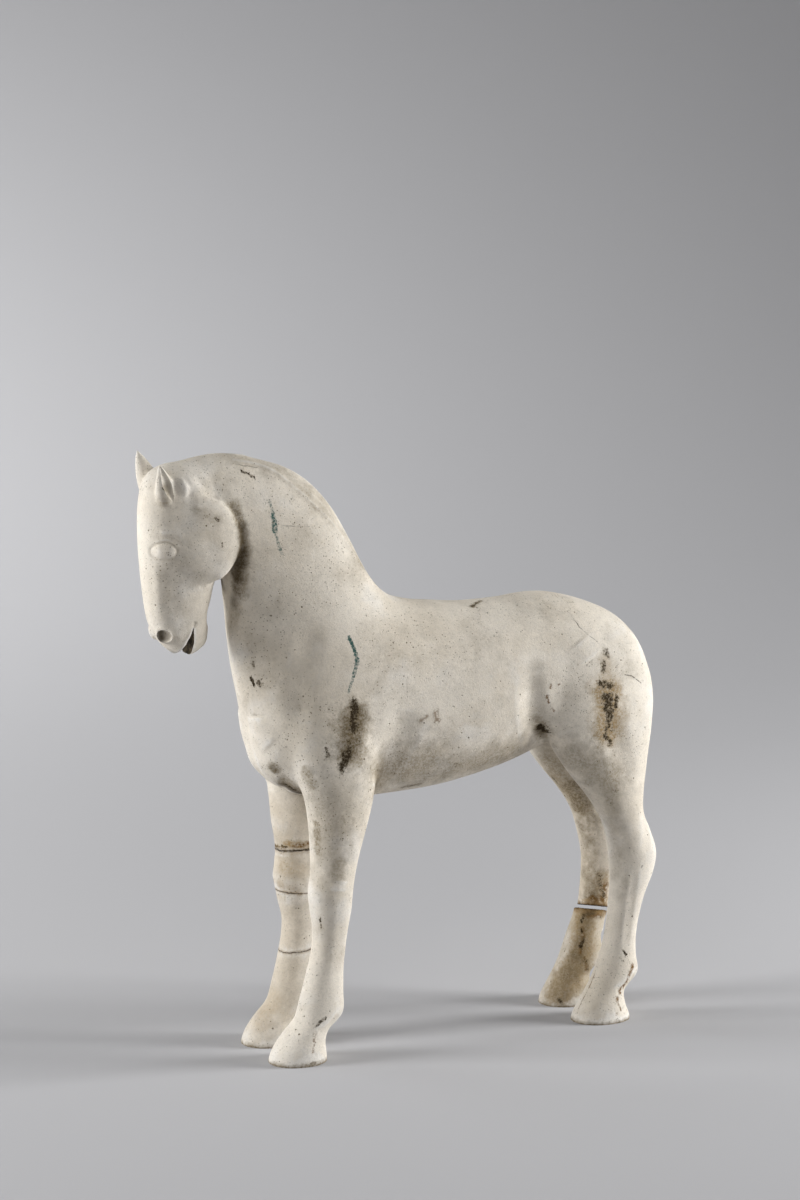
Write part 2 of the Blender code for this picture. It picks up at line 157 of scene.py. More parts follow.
# The right legs differ a little: (z, shift in x) of the foreleg and of the hind leg.
FORE_SHIFT = [
    (400, 0), (290, -2), (250, -7), (210, -9), (185, -7),
    (160, -6), (135, -5), (110, -2), (60, 0), (-10, 0),
]
HIND_SHIFT = [(400, 0), (230, 0), (180, 2), (140, 5), (95, 5), (60, 1), (-10, 3)]
# Each ear's root and tip, and its sections: share of the length, half width and half thickness.
LEFT_EAR = ((-270, -18, 514), (-281, -22, 551))
RIGHT_EAR = ((-271, 18, 518), (-285.5, 22, 560.6))
EAR_LEAF = [
    (0.0, 10.5, 7.5), (0.25, 10.5, 7.0), (0.5, 9.0, 5.8),
    (0.75, 5.6, 4.0), (0.92, 2.4, 2.0), (1.0, 0.8, 0.8),
]
EAR_TURN = math.radians(80)  # from the front to where its hollow faces
# The middle (x, z) of the cheek's plate, and its sections: how far out, and radius.
CHEEK_AT = (-246, 482)
CHEEK_ROUNDS = [(8, 32), (18, 36.5), (24, 38.5), (28, 38.2), (31, 35.5), (32.8, 29), (33.8, 18), (34, 5)]
EYE_TURN = 0.47  # from the middle plane, as the face narrows forward
BREAK_AT = (180, LEG_OUT, 91.5)  # the middle of the break
BREAK_SLOPE = (-0.20, -0.205)  # its fall along x and y
# The repairs on the right foreleg: height, fall along x, width, and the half widths in mm of their dark
# line and of the brown beside it.
CRACKS = [(184.5, 0.10, 1.3, 1.7, 6.0), (142.5, -0.05, 0.6, 0.9, 2.6), (86.0, 0.04, 0.6, 0.9, 3.0)]
# The slot's line along the crest (x, z), from behind the poll to the withers.
CREST = [
    (-196, 556), (-176, 550.5), (-156, 542.5), (-135, 528),
    (-114, 505), (-94, 474.5), (-76, 445), (-60, 428),
]
# Where limbs run into the body: (x, y, z, radius, weight), on both sides.
BLENDS = [
    (-165, 38, 312, 62, 1.0),
    (-112, 56, 335, 70, 1.0),
    (-80, 52, 300, 48, 0.9),
    (85, 50, 325, 62, 1.0),
    (150, 48, 368, 70, 1.0),
    (200, 20, 330, 60, 1.0),
    (-246, 8, 545, 26, 0.5),
    (-250, 24, 444, 24, 1.0),
    (-262, 30, 500, 20, 0.9),
    (-257, 32, 478, 14, 0.8),
    (-255, 31, 458, 18, 0.9),
    (-277.5, 25, 474.5, 17, 0.8),
]


def between(rows, steps):
    """The rows, with steps - 1 more between each pair, on a smooth curve through them."""
    out = []
    last = len(rows) - 1
    for i in range(last):
        four = [rows[max(i - 1, 0)], rows[i], rows[i + 1], rows[min(i + 2, last)]]
        for k in range(steps):
            t = k / steps
            row = []
            for a, b, c, d in zip(*four):
                bend = (2 * a - 5 * b + 4 * c - d) * t * t + (3 * b - a - 3 * c + d) * t**3
                row.append(0.5 * (2 * b + (c - a) * t + bend))
            out.append(tuple(row))
    out.append(tuple(rows[last]))
    return out


def power(value, n):
    """One coordinate of a rounded square. n is 2 for a circle, and more is squarer."""
    return math.copysign(abs(value) ** (2.0 / n), value)


def moved(shift, z):
    """The shift in x at this height, from a falling list of (z, shift)."""
    for (high, a), (low, b) in zip(shift, shift[1:]):
        if low <= z <= high:
            t = (z - low) / (high - low)
            t = t * t * (3 - 2 * t)
            return b + (a - b) * t
    return 0.0


def pour(piece, bm):
    """Adds a finished closed piece to bm, with its faces turned outward."""
    bmesh.ops.recalc_face_normals(piece, faces=piece.faces)
    if piece.calc_volume(signed=True) < 0:
        bmesh.ops.reverse_faces(piece, faces=piece.faces)
    mesh = bpy.data.meshes.new("piece")
    piece.to_mesh(mesh)
    piece.free()
    bm.from_mesh(mesh)
    bpy.data.meshes.remove(mesh)


def skin(bm, rings):
    """Adds a closed skin over rings of points."""
    piece = bmesh.new()
    made = []
    for points in rings:
        verts = bmesh.ops.create_circle(piece, segments=len(points), radius=1.0)["verts"]
        for vert, point in zip(verts, points):
            vert.co = Vector(point) * U
        made.append(verts)
    loops = [list({e for v in verts for e in v.link_edges}) for verts in made]
    for first, second in zip(loops, loops[1:]):
        bmesh.ops.bridge_loops(piece, edges=first + second)
    bmesh.ops.contextual_create(piece, geom=made[0])
    bmesh.ops.contextual_create(piece, geom=made[-1])
    pour(piece, bm)


def loft(bm, rows, side=1, out=0.0, steps=5, around=60, shift=()):
    """One limb or trunk, out from the middle plane. side -1 puts it on the right side of the horse."""
    rings = []
    for ax, az, bx, bz, half, mid, n, widen in between(rows, steps):
        ring = []
        for k in range(around):
            turn = 2 * math.pi * k / around
            along = power(math.cos(turn), n)
            across = power(math.sin(turn), n) * half * (1 + widen * along)
            x = (ax + bx) / 2 + (ax - bx) / 2 * along
            z = (az + bz) / 2 + (az - bz) / 2 * along
            ring.append((x + moved(shift, z), -side * (out + mid + across), z))
        rings.append(ring)
    skin(bm, rings)


def bar(bm, stations, around=32):
    """A skin along stations of (centre, first half axis, second half axis), all vectors."""
    rings = []
    for centre, first, second in stations:
        ring = []
        for k in range(around):
            turn = 2 * math.pi * k / around
            ring.append(Vector(centre) + Vector(first) * math.cos(turn) + Vector(second) * math.sin(turn))
        rings.append(ring)
    skin(bm, rings)


def dome(bm, centre, radii, turn_z=0.0, tilt=0.0):
    """An ellipsoid, turned about z after a tilt about y."""
    piece = bmesh.new()
    for vert in bmesh.ops.create_uvsphere(piece, u_segments=40, v_segments=24, radius=1.0)["verts"]:
        x, y, z = (c * r for c, r in zip(vert.co, radii))
        x, z = x * math.cos(tilt) + z * math.sin(tilt), z * math.cos(tilt) - x * math.sin(tilt)
        x, y = x * math.cos(turn_z) - y * math.sin(turn_z), x * math.sin(turn_z) + y * math.cos(turn_z)
        vert.co = (Vector((x, y, z)) + Vector(centre)) * U
    pour(piece, bm)


def cheek(bm, side):
    """The round jaw plate. Its front sinks into the head, and its rear edge stands out firmly."""
    rings = []
    for y, radius in between(CHEEK_ROUNDS, 3):
        ring = []
        for k in range(96):
            turn = 2 * math.pi * k / 96
            x = radius * math.cos(turn)
            z = radius * 1.05 * math.sin(turn)
            front = min(1.0, max(0.0, (22 - x) / 30))
            ends = 0.004 * max(0.0, z - 10) ** 2 + 0.011 * min(0.0, z + 12) ** 2
            sink = 0.012 * min(0.0, x) ** 2 + front * ends
            ring.append((x + CHEEK_AT[0], side * -(y - sink), z + CHEEK_AT[1]))
        rings.append(ring)
    skin(bm, rings)


def ear(bm, side, base, tip, hollow):
    """A leaf-shaped ear. hollow makes the smaller leaf that is cut from its outer face."""
    base = Vector(base)
    tip = Vector(tip)
    axis = (tip - base).normalized()
    facing = Vector((math.cos(EAR_TURN), math.sin(EAR_TURN) * -side, 0.0))
    facing = (facing - axis * facing.dot(axis)).normalized()
    wide = axis.cross(facing).normalized()
    stations = []
    for t, a, b in between(EAR_LEAF, 4):
        if hollow:
            if t < 0.08 or t > 0.95:
                continue
            open_here = min(1.0, t * 2.0)
            centre = base + (tip - base) * t + facing * (b * 1.2)
            stations.append((centre, wide * a * 0.6 * open_here, facing * b * 0.8 * open_here))
        else:
            stations.append((base + (tip - base) * t, wide * a, facing * b))
    bar(bm, stations)


def mesh_object(name, bm):
    """An object in the scene with this bmesh's faces."""
    mesh = bpy.data.meshes.new(name)
    bm.to_mesh(mesh)
    bm.free()
    made = bpy.data.objects.new(name, mesh)
    bpy.context.scene.collection.objects.link(made)
    return made


def closed_object(name, piece):
    """An object of one closed piece, with its faces turned outward."""
    bm = bmesh.new()
    pour(piece, bm)
    return mesh_object(name, bm)


def apply(obj):
    """Puts the object's modifiers into its mesh."""
    graph = bpy.context.evaluated_depsgraph_get()
    mesh = bpy.data.meshes.new_from_object(obj.evaluated_get(graph))
    obj.modifiers.clear()
    old_mesh = obj.data
    obj.data = mesh
    bpy.data.meshes.remove(old_mesh)


def places(mesh):
    """The points of a mesh as an array, in 560ths."""
    flat = np.empty(len(mesh.vertices) * 3, np.float32)
    mesh.vertices.foreach_get("co", flat)
    return flat.reshape(-1, 3).astype(float) / U


def outward(mesh):
    """The skin's directions at its points."""
    flat = np.empty(len(mesh.vertices) * 3, np.float32)
    mesh.vertex_normals.foreach_get("vector", flat)
    return flat.reshape(-1, 3).astype(float)


def put(mesh, points):
    """Moves a mesh's points to these, in 560ths."""
    mesh.vertices.foreach_set("co", (points * U).astype(np.float32).ravel())
    mesh.update()


def soften(obj, weights, rounds):
    """Smooths the skin, as much as the weights say at each point. None means all of it."""
    smooth = obj.modifiers.new("smooth", "SMOOTH")
    smooth.factor = 0.5
    smooth.iterations = rounds
    if weights is not None:
        group = obj.vertex_groups.new(name="soft")
        steps = np.round(np.clip(weights, 0, 1) * 20).astype(int)
        for step in range(1, 21):
            group.add(np.flatnonzero(steps == step).tolist(), step / 20, "REPLACE")
        smooth.vertex_group = "soft"
    apply(obj)
    obj.vertex_groups.clear()


def spots(points, marks):
    """Weights that are greatest at the marks of (x, y, z, radius, weight), on both sides."""
    total = np.zeros(len(points))
    mirrored = np.column_stack([points[:, 0], np.abs(points[:, 1]), points[:, 2]])
    for x, y, z, radius, most in marks:
        away = np.linalg.norm(mirrored - (x, y, z), axis=1)
        total = np.maximum(total, most * np.clip(1.0 - (away / radius) ** 2, 0, 1))
    return total


# The clay form.

def clay_form():
    """The whole horse in one skin, before anything is cut."""
    bm = bmesh.new()
    loft(bm, BODY, around=80)
    loft(bm, HEAD)
    for side in (1, -1):
        loft(bm, FORE, side, LEG_OUT, shift=FORE_SHIFT if side < 0 else ())
        loft(bm, HIND, side, LEG_OUT, shift=HIND_SHIFT if side < 0 else ())
        cheek(bm, side)
        # The brow, the eye and the swelling behind the ear.
        dome(bm, (-271, side * -20.5, 489), (14, 7, 5.5), side * -EYE_TURN)
        dome(bm, (-275.5, side * -21.5, 474.5), (11, 6.2, 8), side * -EYE_TURN)
        dome(bm, (-257, side * -14.5, 528), (11.5, 13, 15))
        # The nostril's raised edge.
        dome(bm, (-273, side * -10.5, 399.5), (8, 8, 8.5))
    ear(bm, 1, *LEFT_EAR, False)
    ear(bm, -1, *RIGHT_EAR, False)
    made = mesh_object("slipped_horse", bm)
    union = made.modifiers.new("union", "REMESH")
    union.mode = "VOXEL"
    union.voxel_size = CLAY_GRAIN * U
    apply(made)
    soften(made, None, 5)
    soften(made, spots(places(made.data), BLENDS), JOIN_ROUNDS)
    return made


def refine_head(obj):
    """Finer faces on the head, where the small forms are."""
    bm = bmesh.new()
    bm.from_mesh(obj.data)

    def on_head(vert):
        return vert.co.x / U < HEAD_REAR and vert.co.z / U > HEAD_FOOT

    edges = [e for e in bm.edges if on_head(e.verts[0]) and on_head(e.verts[1])]
    bmesh.ops.subdivide_edges(bm, edges=edges, cuts=1, use_grid_fill=True)
    bmesh.ops.triangulate(bm, faces=[f for f in bm.faces if len(f.verts) > 4])
    bm.to_mesh(obj.data)
    bm.free()
    points = places(obj.data)
    forward = np.clip((HEAD_REAR + 2 - points[:, 0]) / 4, 0, 1)
    upward = np.clip((points[:, 2] - HEAD_FOOT + 2) / 4, 0, 1)
    soften(obj, forward * upward, 3)


def oval(x, z, long, high):
    """A closed line round a place on the side of the head."""
    turns = [math.radians(20 * k) for k in range(18)] + [0.0]
    return [(x + long * math.cos(t), None, z + high * math.sin(t)) for t in turns]


# The rim of the bed that the mane sat on, from behind the poll to the withers.
RIM = [
    (-223, -7, 553), (-206, -9, 550.5), (-190, -10, 547), (-177.6, -11, 543),
    (-165, -13, 536), (-154.6, -15, 527), (-142, -17, 516), (-129, -18, 503),
    (-115.2, -18, 489), (-104, -18.5, 473), (-94, -18, 459), (-85, -17, 446),
]
# Folds on both sides, pressed into the skin or raised on it: the line's points (x, y, z), the half width
# and the height, which is below 0 for a groove. The None of a point is found on the skin.
FOLDS = [
    # The eye: its ball, the groove round it and the upper lid.
    ([(-274.5, None, 474.6), (-280.5, None, 474.8), (-274.5, None, 474.6)], 9.5, 2.4),
    (oval(-277.5, 474.6, 10.2, 8.0), 2.6, -0.75),
    ([(-265, None, 477), (-270, None, 483.5), (-278, None, 485), (-286, None, 481.5)], 3.0, 0.6),
    # The brow, and the edges of the nose bone.
    ([(-262, None, 486), (-270, None, 491), (-282, None, 491)], 6.5, 1.0),
    ([(-284, None, 464), (-282, None, 440), (-279.5, None, 418)], 6.0, 0.6),
    ([(-273, None, 460), (-270, None, 440), (-267, None, 420)], 10.0, -0.9),
    # The corner of the mouth, and the lips.
    ([(-249, None, 404), (-247.5, None, 410)], 3.5, -0.8),
    ([(-251, None, 402), (-257, None, 391), (-262, None, 383)], 2.6, 0.6),
    # The crease where the jaw leaves the cheek.
    ([(-246, None, 440), (-237, None, 443), (-228, None, 446)], 4.0, -0.9),
    # Behind the ear: the swelling's rear edge, the fold after it, and the crease where the neck begins.
    ([(-259, None, 540), (-255, None, 534), (-254, None, 527), (-256, None, 521)], 4.5, -0.9),
    ([(-249, None, 536), (-247, None, 527), (-248, None, 517)], 6.0, 0.35),
    ([(-247, None, 540), (-240, None, 532), (-235, None, 523), (-228, None, 515)], 8.0, -1.1),
    # The mane's bed: its rim, and the shallow trough inside it.
    (RIM, 3.6, 1.1),
    ([(x, y * 0.62, None) for x, y, z in RIM], 6.5, -1.5),
    # Behind the upper foreleg, and the flank.
    ([(-58, None, 322), (-64, None, 300), (-75, None, 276), (-85, None, 252)], 23.0, -3.2),
    ([(72, None, 345), (72, None, 315), (79, None, 292), (90, None, 276)], 20.0, -3.0),
    ([(92, None, 322), (98, None, 300), (108, None, 280)], 12.0, 0.8),
    ([(88, None, 284), (94, None, 276)], 8.0, -1.6),
    # The fold over the upper foreleg.
    ([(-168, None, 268), (-161, None, 252), (-152, None, 242)], 8.0, -1.4),
    # The shoulder blade's front edge and the point of the breast.
    ([(-146, None, 400), (-154, None, 370), (-160, None, 345), (-160, None, 315)], 18.0, -2.2),
    ([(-191, None, 322), (-188, None, 306), (-180, None, 292)], 18.0, 2.0),
    ([(-112, None, 345), (-112, None, 300), (-114, None, 262)], 24.0, 1.5),
    # The thigh's hollow before its rear muscle, and the hip.
    ([(150, None, 300), (160, None, 268), (170, None, 240)], 18.0, -1.6),
    ([(120, None, 372), (132, None, 352)], 26.0, 1.3),
    # Sinews of the hocks, the cannons and the fetlocks.
    ([(192, None, 212), (197, None, 185), (195, None, 160)], 9.0, -0.9),
    ([(184, None, 150), (182, None, 120), (179, None, 92), (176, None, 72)], 7.0, -0.9),
    ([(-120, None, 132), (-121, None, 108), (-124, None, 80)], 8.0, -0.4),
    ([(-122, None, 170), (-124, None, 158)], 12.0, 0.8),
    # The heel's hollow over each hoof, and the edge of the hoof's horn.
    ([(-122, None, 44), (-134, None, 34), (-146, None, 29)], 6.0, -1.1),
    ([(188, None, 44), (176, None, 34), (164, None, 29)], 6.0, -1.1),
]
MIDDLE_FOLDS = [
    # The groove down the breast between the forelegs, and the dent over the chin.
    ([(None, 0, 330), (None, 0, 300), (None, 0, 275), (None, 0, 255)], 12.0, -2.0),
    ([(-227.5, -13, 415), (-227.5, 13, 415)], 15.0, -6.0),
    ([(-236, -6, 390), (-236, 6, 390)], 8.0, 1.4),
]
RIGHT_FOLDS = [
    # The fallen hoof's pastern is full behind.
    ([(199, -33, 98), (198, -33, 80), (196, -33, 64)], 15.0, 3.6),
    # The repaired foreleg's middle length stands a little out.
    ([(-147, None, 176), (-148, None, 152)], 12.0, 0.9),
]


def on_skin(tree, place, side):
    """The place with its None found on the skin: x from the front, y from the side, z from above."""
    x, y, z = place
    if y is None:
        hit = tree.ray_cast(Vector((x, -side * 200, z)) * U, Vector((0, side, 0)))[0]
    elif x is None:
        hit = tree.ray_cast(Vector((-400, y * side, z)) * U, Vector((1, 0, 0)))[0]
    elif z is None:
        hit = tree.ray_cast(Vector((x, y * side, 700)) * U, Vector((0, 0, -1)))[0]
    else:
        hit = Vector((x, y * side, z)) * U
    return np.array(hit) / U


def along_line(points, line):
    """Each point's distance to a bent line, and its share of the way along it."""
    nearest = np.full(len(points), 1e9)
    share = np.zeros(len(points))
    for i, (a, b) in enumerate(zip(line, line[1:])):
        run = b - a
        t = np.clip((points - a) @ run / run.dot(run), 0, 1)
        away = np.linalg.norm(points - (a + t[:, None] * run), axis=1)
        closer = away < nearest
        nearest[closer] = away[closer]
        share[closer] = (i + t[closer]) / (len(line) - 1)
    return nearest, share


def press_folds(obj):
    mesh = obj.data
    tree = BVHTree.FromPolygons([v.co for v in mesh.vertices], [p.vertices for p in mesh.polygons])
    points = places(mesh)
    normals = outward(mesh)
    rise = np.zeros(len(points))
    folds = [(fold, side) for fold in FOLDS for side in (1, -1)]
    folds += [(fold, 1) for fold in MIDDLE_FOLDS] + [(fold, -1) for fold in RIGHT_FOLDS]
    for (line, width, height), side in folds:
        path = np.array([on_skin(tree, place, side) for place in line])
        path = np.array(between([tuple(p) for p in path], 4))
        near = np.all((points > path.min(0) - width) & (points < path.max(0) + width), axis=1)
        away, share = along_line(points[near], path)
        fade = np.clip(np.minimum(share, 1 - share) * 5, 0, 1)
        fade = np.ones(len(share)) if line[0] == line[-1] else fade * fade * (3 - 2 * fade)
        bell = np.cos(np.clip(away / width, 0, 1) * math.pi) * 0.5 + 0.5
        rise[near] += height * bell * (0.25 + 0.75 * fade)
    put(mesh, points + normals * rise[:, None])


# The cuts, each made with a closed piece of its own.

def channel_cutter():
    """The round-bottomed slot for the mane."""
    bm = bmesh.new()
    rings = []
    radius = (CHANNEL_WIDTH**2 / 4 + CHANNEL_DEPTH**2) / (2 * CHANNEL_DEPTH)
    line = between([(x, z, 0.0) for x, z in CREST], 6)
    for i, (x, z, _) in enumerate(line):
        before = line[max(i - 1, 0)]
        after = line[min(i + 1, len(line) - 1)]
        along = Vector((after[0] - before[0], 0, after[1] - before[1])).normalized()
        out = along.cross(Vector((0, 1, 0)))
        if out.z < 0:
            out = -out
        end = min(i, len(line) - 1 - i)
        lift = radius - CHANNEL_DEPTH + 3.0 * max(0.0, 1 - end / 6) ** 2
        rings.append((Vector((x, 0, z)) + out * lift, out * radius, Vector((0, radius, 0))))
    bar(bm, rings, 48)
    return mesh_object("channel", bm)


def mouth_cutter():
    """The open mouth, a wedge from the chin up to the corner of the lips, with wavy sides."""
    bm = bmesh.new()
    outline = between([(-248.5, 405), (-254, 393), (-259, 384), (-263.5, 377), (-262, 365)], 3)
    outline += between([(-251, 365), (-249.5, 377), (-248, 390), (-248.5, 405)], 3)[:-1]
    rings = []
    for k in range(13):
        y = -30 + 5 * k
        ring = []
        for x, z in outline:
            ring.append((x + 0.35 * math.sin(z * 0.9 + k), y, z))
        rings.append(ring)
    skin(bm, rings)
    return mesh_object("mouth", bm)


def nostril_cutter(side):
    """An oval hollow in the side of the nose."""
    bm = bmesh.new()
    dome(bm, (-276.5, side * -16.5, 396.5), (8.8, 6.4, 7.2), side * -0.5, 0.3)
    return mesh_object("nostril", bm)


def ear_cutter(side, place):
    """The hollow of an ear."""
    bm = bmesh.new()
    ear(bm, side, *place, True)
    return mesh_object("ear_hollow", bm)


def right_foreleg(level):
    """The right foreleg at this height: its middle in x, half its length and half its width."""
    row = min(between(FORE, 6), key=lambda r: abs((r[1] + r[3]) / 2 - level))
    return (row[0] + row[2]) / 2 + moved(FORE_SHIFT, level), abs(row[0] - row[2]) / 2, row[4]


def crack_cutter(level, tilt, width):
    """A ragged hoop round the right foreleg."""
    middle, long, half = right_foreleg(level)
    start = 100  # the hoop's radius before it is fitted to the leg
    piece = bmesh.new()
    # Across the hoop: how far out, and how far up for a width of 1.
    profile = ((-CRACK_DEPTH, -0.12), (3.0, -0.5), (3.0, 0.5), (-CRACK_DEPTH, 0.12))
    made = bmesh.ops.create_circle(piece, segments=4, radius=1.0)["verts"]
    for vert, (inset, rise) in zip(made, profile):
        vert.co = (start + inset, 0, rise * width)
    profile = made + list({e for v in made for e in v.link_edges})
    bmesh.ops.spin(
        piece, geom=profile, cent=(0, 0, 0), axis=(0, 0, 1), angle=2 * math.pi, steps=120, use_merge=True
    )
    for vert in piece.verts:
        turn = math.atan2(vert.co.y, vert.co.x)
        inset = math.hypot(vert.co.x, vert.co.y) - start
        wave = 0.5 * math.sin(3 * turn + level) + 0.3 * math.sin(5 * turn)
        wave += 0.25 * math.sin(13 * turn + 2 * level) + 0.18 * math.sin(29 * turn + level)
        open_here = 1 + 0.45 * math.sin(7 * turn + level)
        x = middle + math.cos(turn) * (long + inset)
        y = LEG_OUT + math.sin(turn) * (half + inset)
        vert.co = Vector((x, y, level + vert.co.z * open_here + (x - middle) * tilt + wave)) * U
    return closed_object("crack", piece)


def break_cutter():
    """An uneven slab through the right hind leg."""
    piece = bmesh.new()
    bmesh.ops.create_grid(piece, x_segments=60, y_segments=42, size=1.0)
    floor = piece.verts[:]
    lifted = bmesh.ops.extrude_face_region(piece, geom=piece.faces[:])["geom"]
    roof = {v for v in lifted if isinstance(v, bmesh.types.BMVert)}
    for vert in floor + list(roof):
        x = BREAK_AT[0] + 42 * vert.co.x
        y = BREAK_AT[1] + 30 * vert.co.y
        fall = BREAK_SLOPE[0] * (x - BREAK_AT[0]) + BREAK_SLOPE[1] * (y - BREAK_AT[1])
        grit = 0.22 * math.sin(x * 1.9 + y * 0.7) + 0.18 * math.sin(x * 0.8 - y * 1.7)
        grit += 0.12 * math.sin(x * 3.1 + y * 2.3)
        swell = 0.25 * math.sin(y * 0.28 + x * 0.14)
        rise = BREAK_GAP / 2 - grit * 0.8 if vert in roof else grit - BREAK_GAP / 2
        vert.co = Vector((x, y, BREAK_AT[2] + fall + swell + rise)) * U
    return closed_object("break", piece)


def carve(obj, cutters):
    """Cuts each (cutter, finish) from obj. finish numbers the material that the cut bares."""
    for cutter, finish in cutters:
        cutter.data.polygons.foreach_set("material_index", [finish] * len(cutter.data.polygons))
        for material in obj.data.materials:
            cutter.data.materials.append(material)
        cut = obj.modifiers.new(cutter.name, "BOOLEAN")
        cut.operation = "DIFFERENCE"
        cut.solver = "MANIFOLD"
        cut.object = cutter
        apply(obj)
        bpy.data.objects.remove(cutter, do_unlink=True)


def island(start):
    """All points joined to start."""
    found = {start}
    waiting = [start]
    while waiting:
        for edge in waiting.pop().link_edges:
            for vert in edge.verts:
                if vert not in found:
                    found.add(vert)
                    waiting.append(vert)
    return found


def stand_and_part(obj):
    """Flat soles on z = 0, the middle of the length at x = 0, and the broken hoof as a piece of its own."""
    bm = bmesh.new()
    bm.from_mesh(obj.data)
    everything = bm.verts[:] + bm.edges[:] + bm.faces[:]
    bmesh.ops.bisect_plane(
        bm, geom=everything, dist=1e-6, plane_co=(0, 0, 0), plane_no=(0, 0, -1), clear_outer=True
    )
    bmesh.ops.holes_fill(bm, edges=[e for e in bm.edges if e.is_boundary], sides=0)
    bmesh.ops.triangulate(bm, faces=bm.faces)
    bmesh.ops.translate(bm, verts=bm.verts, vec=(-MIDDLE * U, 0, 0))
    bm.verts.ensure_lookup_table()
    main = island(max(bm.verts, key=lambda v: v.co.z))
    loose = [v for v in bm.verts if v not in main]
    lower = bm.copy()
    lower.verts.ensure_lookup_table()
    bmesh.ops.delete(lower, geom=[lower.verts[v.index] for v in main], context="VERTS")
    bmesh.ops.translate(lower, verts=lower.verts, vec=(-BREAK_SLIP * U, 0, 0))
    bmesh.ops.delete(bm, geom=loose, context="VERTS")
    bm.to_mesh(obj.data)
    bm.free()
    return mesh_object("fallen_hind_hoof", lower)


def note_hollows(obj):
    """Keeps, at each point, how far the skin lies under (or over) its smoothed self: finely and broadly."""
    here = places(obj.data)
    normals = outward(obj.data)
    # Each layer's name, its rounds of smoothing, and the depth that counts as 1.
    for name, rounds, most in (("hollow_fine", 14, 0.35), ("hollow_broad", 160, 1.6)):
        copy = bpy.data.objects.new("smoothed", obj.data.copy())
        bpy.context.scene.collection.objects.link(copy)
        soften(copy, None, rounds)
        under = np.sum((places(copy.data) - here) * normals, axis=1) / most
        layer = obj.data.attributes.new(name, "FLOAT", "POINT")
        layer.data.foreach_set("value", np.clip(under, -1, 1).astype(np.float32))
        mesh = copy.data
        bpy.data.objects.remove(copy)
        bpy.data.meshes.remove(mesh)


# Finishes. Places are in metres, and every pattern reads the object's own coordinates.

WHITE = (0.750, 0.695, 0.605)
CREAM = (0.560, 0.490, 0.385)
GREY = (0.290, 0.245, 0.180)
CLAY = (0.260, 0.200, 0.115)
SOIL_AND_SHADE_BROWN = (0.130, 0.097, 0.050)
DARK_EARTH_AND_SHADE = (0.028, 0.017, 0.006)
SHADE = (0.040, 0.025, 0.008)
RUST = (0.155, 0.080, 0.022)
TAN = (0.330, 0.235, 0.120)
GREEN = (0.026, 0.090, 0.080)
RUBBED = (0.810, 0.785, 0.740)
WORN = (0.250, 0.205, 0.140)

